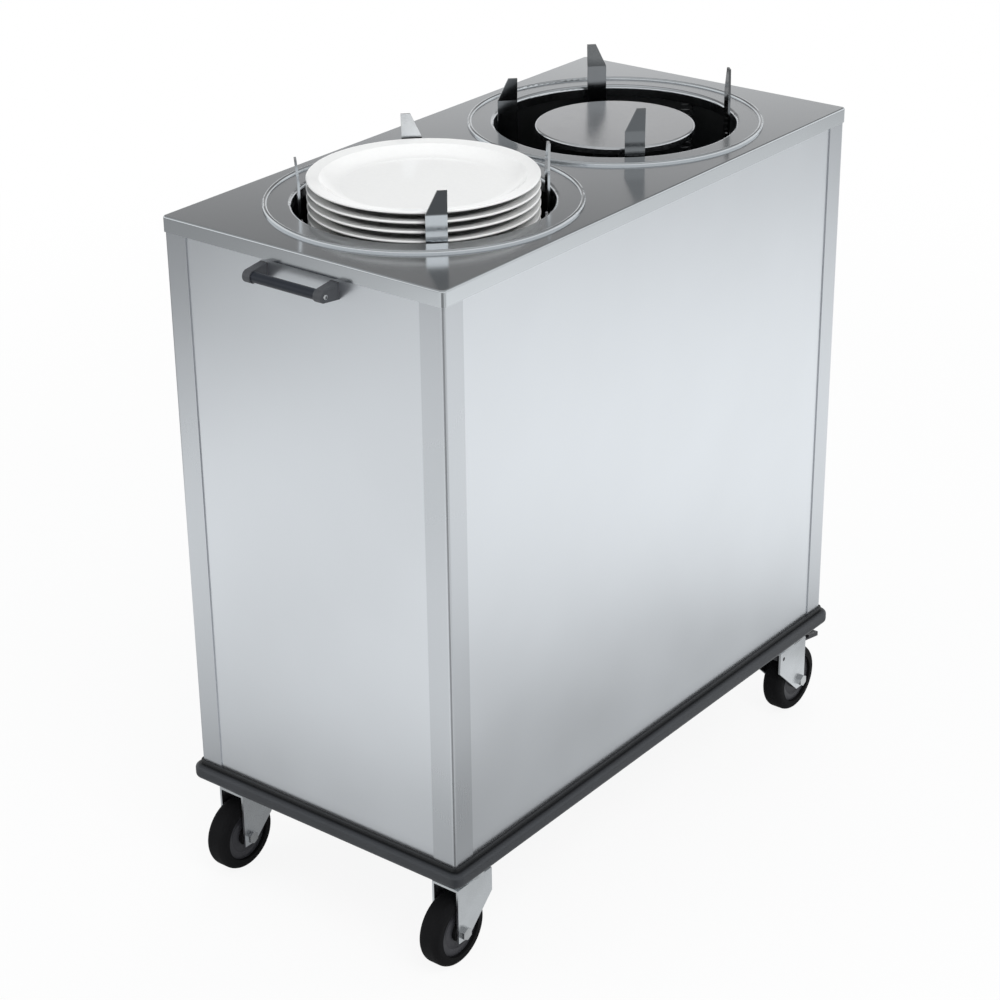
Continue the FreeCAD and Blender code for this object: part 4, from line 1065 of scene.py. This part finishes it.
def mixed_shader(tree, share, first, second):
    """A shader that goes from the first to the second by a share."""
    node = tree.nodes.new("ShaderNodeMixShader")
    tree.links.new(share, node.inputs["Fac"])
    tree.links.new(first, node.inputs[1])
    tree.links.new(second, node.inputs[2])
    return node.outputs["Shader"]


def looking(azimuth, elevation):
    """The direction of an azimuth and an elevation: 0 is -Y, and 90 is +X."""
    turn = math.radians(azimuth)
    rise = math.radians(elevation)
    level = math.cos(rise)
    return Vector((math.sin(turn) * level, -math.cos(turn) * level, math.sin(rise)))


def studio_floor():
    """A pale floor: white to the camera but for the object's shadow, a pool of light to the steel."""
    floor = sheet("floor", floor_size, floor_size)
    tree, output = stage_material(floor)
    axes, place = own_axes(tree)
    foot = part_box("corner_posts")[1]
    apart = tree.nodes.new("ShaderNodeCombineXYZ")
    for axis, reach in (("X", foot.x), ("Y", foot.y)):
        beyond = arithmetic(tree, "SUBTRACT", arithmetic(tree, "ABSOLUTE", axes[axis]), reach)
        tree.links.new(arithmetic(tree, "MAXIMUM", beyond), apart.inputs[axis])
    distance = vector_math(tree, "LENGTH", apart.outputs["Vector"]).outputs["Value"]
    from_corner = vector_math(tree, "SUBTRACT", place, (foot.x, -foot.y, 0))
    way = vector_math(tree, "NORMALIZE", from_corner.outputs["Vector"])
    aisle = vector_math(tree, "DOT_PRODUCT", way.outputs["Vector"], looking(aisle_azimuth, 0))

    path = tree.nodes.new("ShaderNodeLightPath")
    matte = tree.nodes.new("ShaderNodeBsdfDiffuse")
    matte.inputs["Color"].default_value = (floor_white, floor_white, floor_white, 1)
    glow = tree.nodes.new("ShaderNodeEmission")
    kept = stops(tree, distance, floor_glow)
    white = arithmetic(tree, "MULTIPLY", path.outputs["Is Camera Ray"], kept)
    seen = mixed_shader(tree, white, matte.outputs["BSDF"], glow.outputs["Emission"])

    lit = stops(tree, distance, pool_from_foot)
    across = stops(tree, axes["X"], pool_across)
    along = stops(tree, axes["Y"], pool_along)
    beside = stops(tree, aisle.outputs["Value"], pool_aisle)
    for share in (across, along, beside):
        lit = arithmetic(tree, "MULTIPLY", lit, share)
    pool = tree.nodes.new("ShaderNodeEmission")
    pool.inputs["Color"].default_value = (*mirror_colour, 1)
    tree.links.new(lit, pool.inputs["Strength"])
    mirrored = mixed_shader(tree, path.outputs["Is Glossy Ray"], seen, pool.outputs["Emission"])
    tree.links.new(mirrored, output.inputs["Surface"])


def studio_flag(name, azimuth, elevation, grey):
    """A grey flag outside the picture for polished steel to mirror, white along its lower edge."""
    flag = sheet(name, flag_width, flag_height)
    away = looking(azimuth, elevation)
    flag.matrix_world = facing(Vector((0, 0, cad_high.z)) + flag_distance * away, -away)
    tree, output = stage_material(flag)
    axes, _ = own_axes(tree)
    glow = tree.nodes.new("ShaderNodeEmission")
    shade = stops(tree, axes["Y"], ((-flag_height / 2, 1.0), (0.0, grey)))
    tree.links.new(shade, glow.inputs["Strength"])
    tree.links.new(glow.outputs["Emission"], output.inputs["Surface"])
    flag.visible_camera = False
    flag.visible_diffuse = False
    flag.visible_shadow = False


def background(tree, colour):
    """A background of a colour."""
    node = tree.nodes.new("ShaderNodeBackground")
    node.inputs["Color"].default_value = (*colour, 1)
    return node


def studio_world():
    """White to the camera, a room to mirror, and a soft even light on everything."""
    world = bpy.data.worlds.new("studio")
    world.use_nodes = True
    tree = world.node_tree
    tree.nodes.clear()
    output = tree.nodes.new("ShaderNodeOutputWorld")
    path = tree.nodes.new("ShaderNodeLightPath").outputs
    seen = arithmetic(tree, "ADD", path["Is Camera Ray"], path["Is Glossy Ray"], clamp=True)
    every = arithmetic(tree, "ADD", seen, path["Is Transmission Ray"], clamp=True)
    place = tree.nodes.new("ShaderNodeTexCoord")
    axes = tree.nodes.new("ShaderNodeSeparateXYZ")
    tree.links.new(place.outputs["Generated"], axes.inputs["Vector"])
    mirrored = background(tree, mirror_colour)
    tree.links.new(stops(tree, axes.outputs["Z"], room_mirror), mirrored.inputs["Strength"])
    white = background(tree, (1, 1, 1))
    bright = mixed_shader(
        tree, path["Is Camera Ray"], mirrored.outputs["Background"], white.outputs["Background"]
    )
    soft = background(tree, ambient_colour)
    soft.inputs["Strength"].default_value = ambient_strength
    surface = mixed_shader(tree, every, soft.outputs["Background"], bright)
    tree.links.new(surface, output.inputs["Surface"])
    bpy.context.scene.world = world


def area_light(name, place, size, power):
    """A square soft box aimed at the middle of the object."""
    light = bpy.data.lights.new(name, "AREA")
    light.shape = "SQUARE"
    light.size = size
    light.energy = power
    lamp = linked(name, light)
    aim = ((cad_low + cad_high) / 2 - place).to_track_quat("-Z", "Y")
    lamp.matrix_world = Matrix.Translation(place) @ aim.to_matrix().to_4x4()
    lamp.visible_glossy = False


def camera():
    """The photograph's camera."""
    data = bpy.data.cameras.new("camera")
    data.sensor_width = sensor_mm
    data.lens = focal_pixels * sensor_mm / image_pixels
    data.clip_end = camera_reach
    obj = linked("camera", data)
    back = looking(camera_azimuth, camera_elevation)
    aim = (-back).to_track_quat("-Z", "Y").to_matrix().to_4x4()
    roll = Matrix.Rotation(math.radians(camera_roll), 4, "Z")
    obj.matrix_world = Matrix.Translation(camera_place) @ aim @ roll
    bpy.context.scene.camera = obj


studio_floor()
studio_flag("rear_flag", camera_azimuth + 180, rear_flag_elevation, rear_flag_grey)
studio_world()
area_light("key_light", key_place, key_size, key_power)
area_light("fill_light", fill_place, fill_size, fill_power)
area_light("back_light", back_place, back_size, back_power)
camera()
bpy.context.scene.view_settings.view_transform = "Standard"
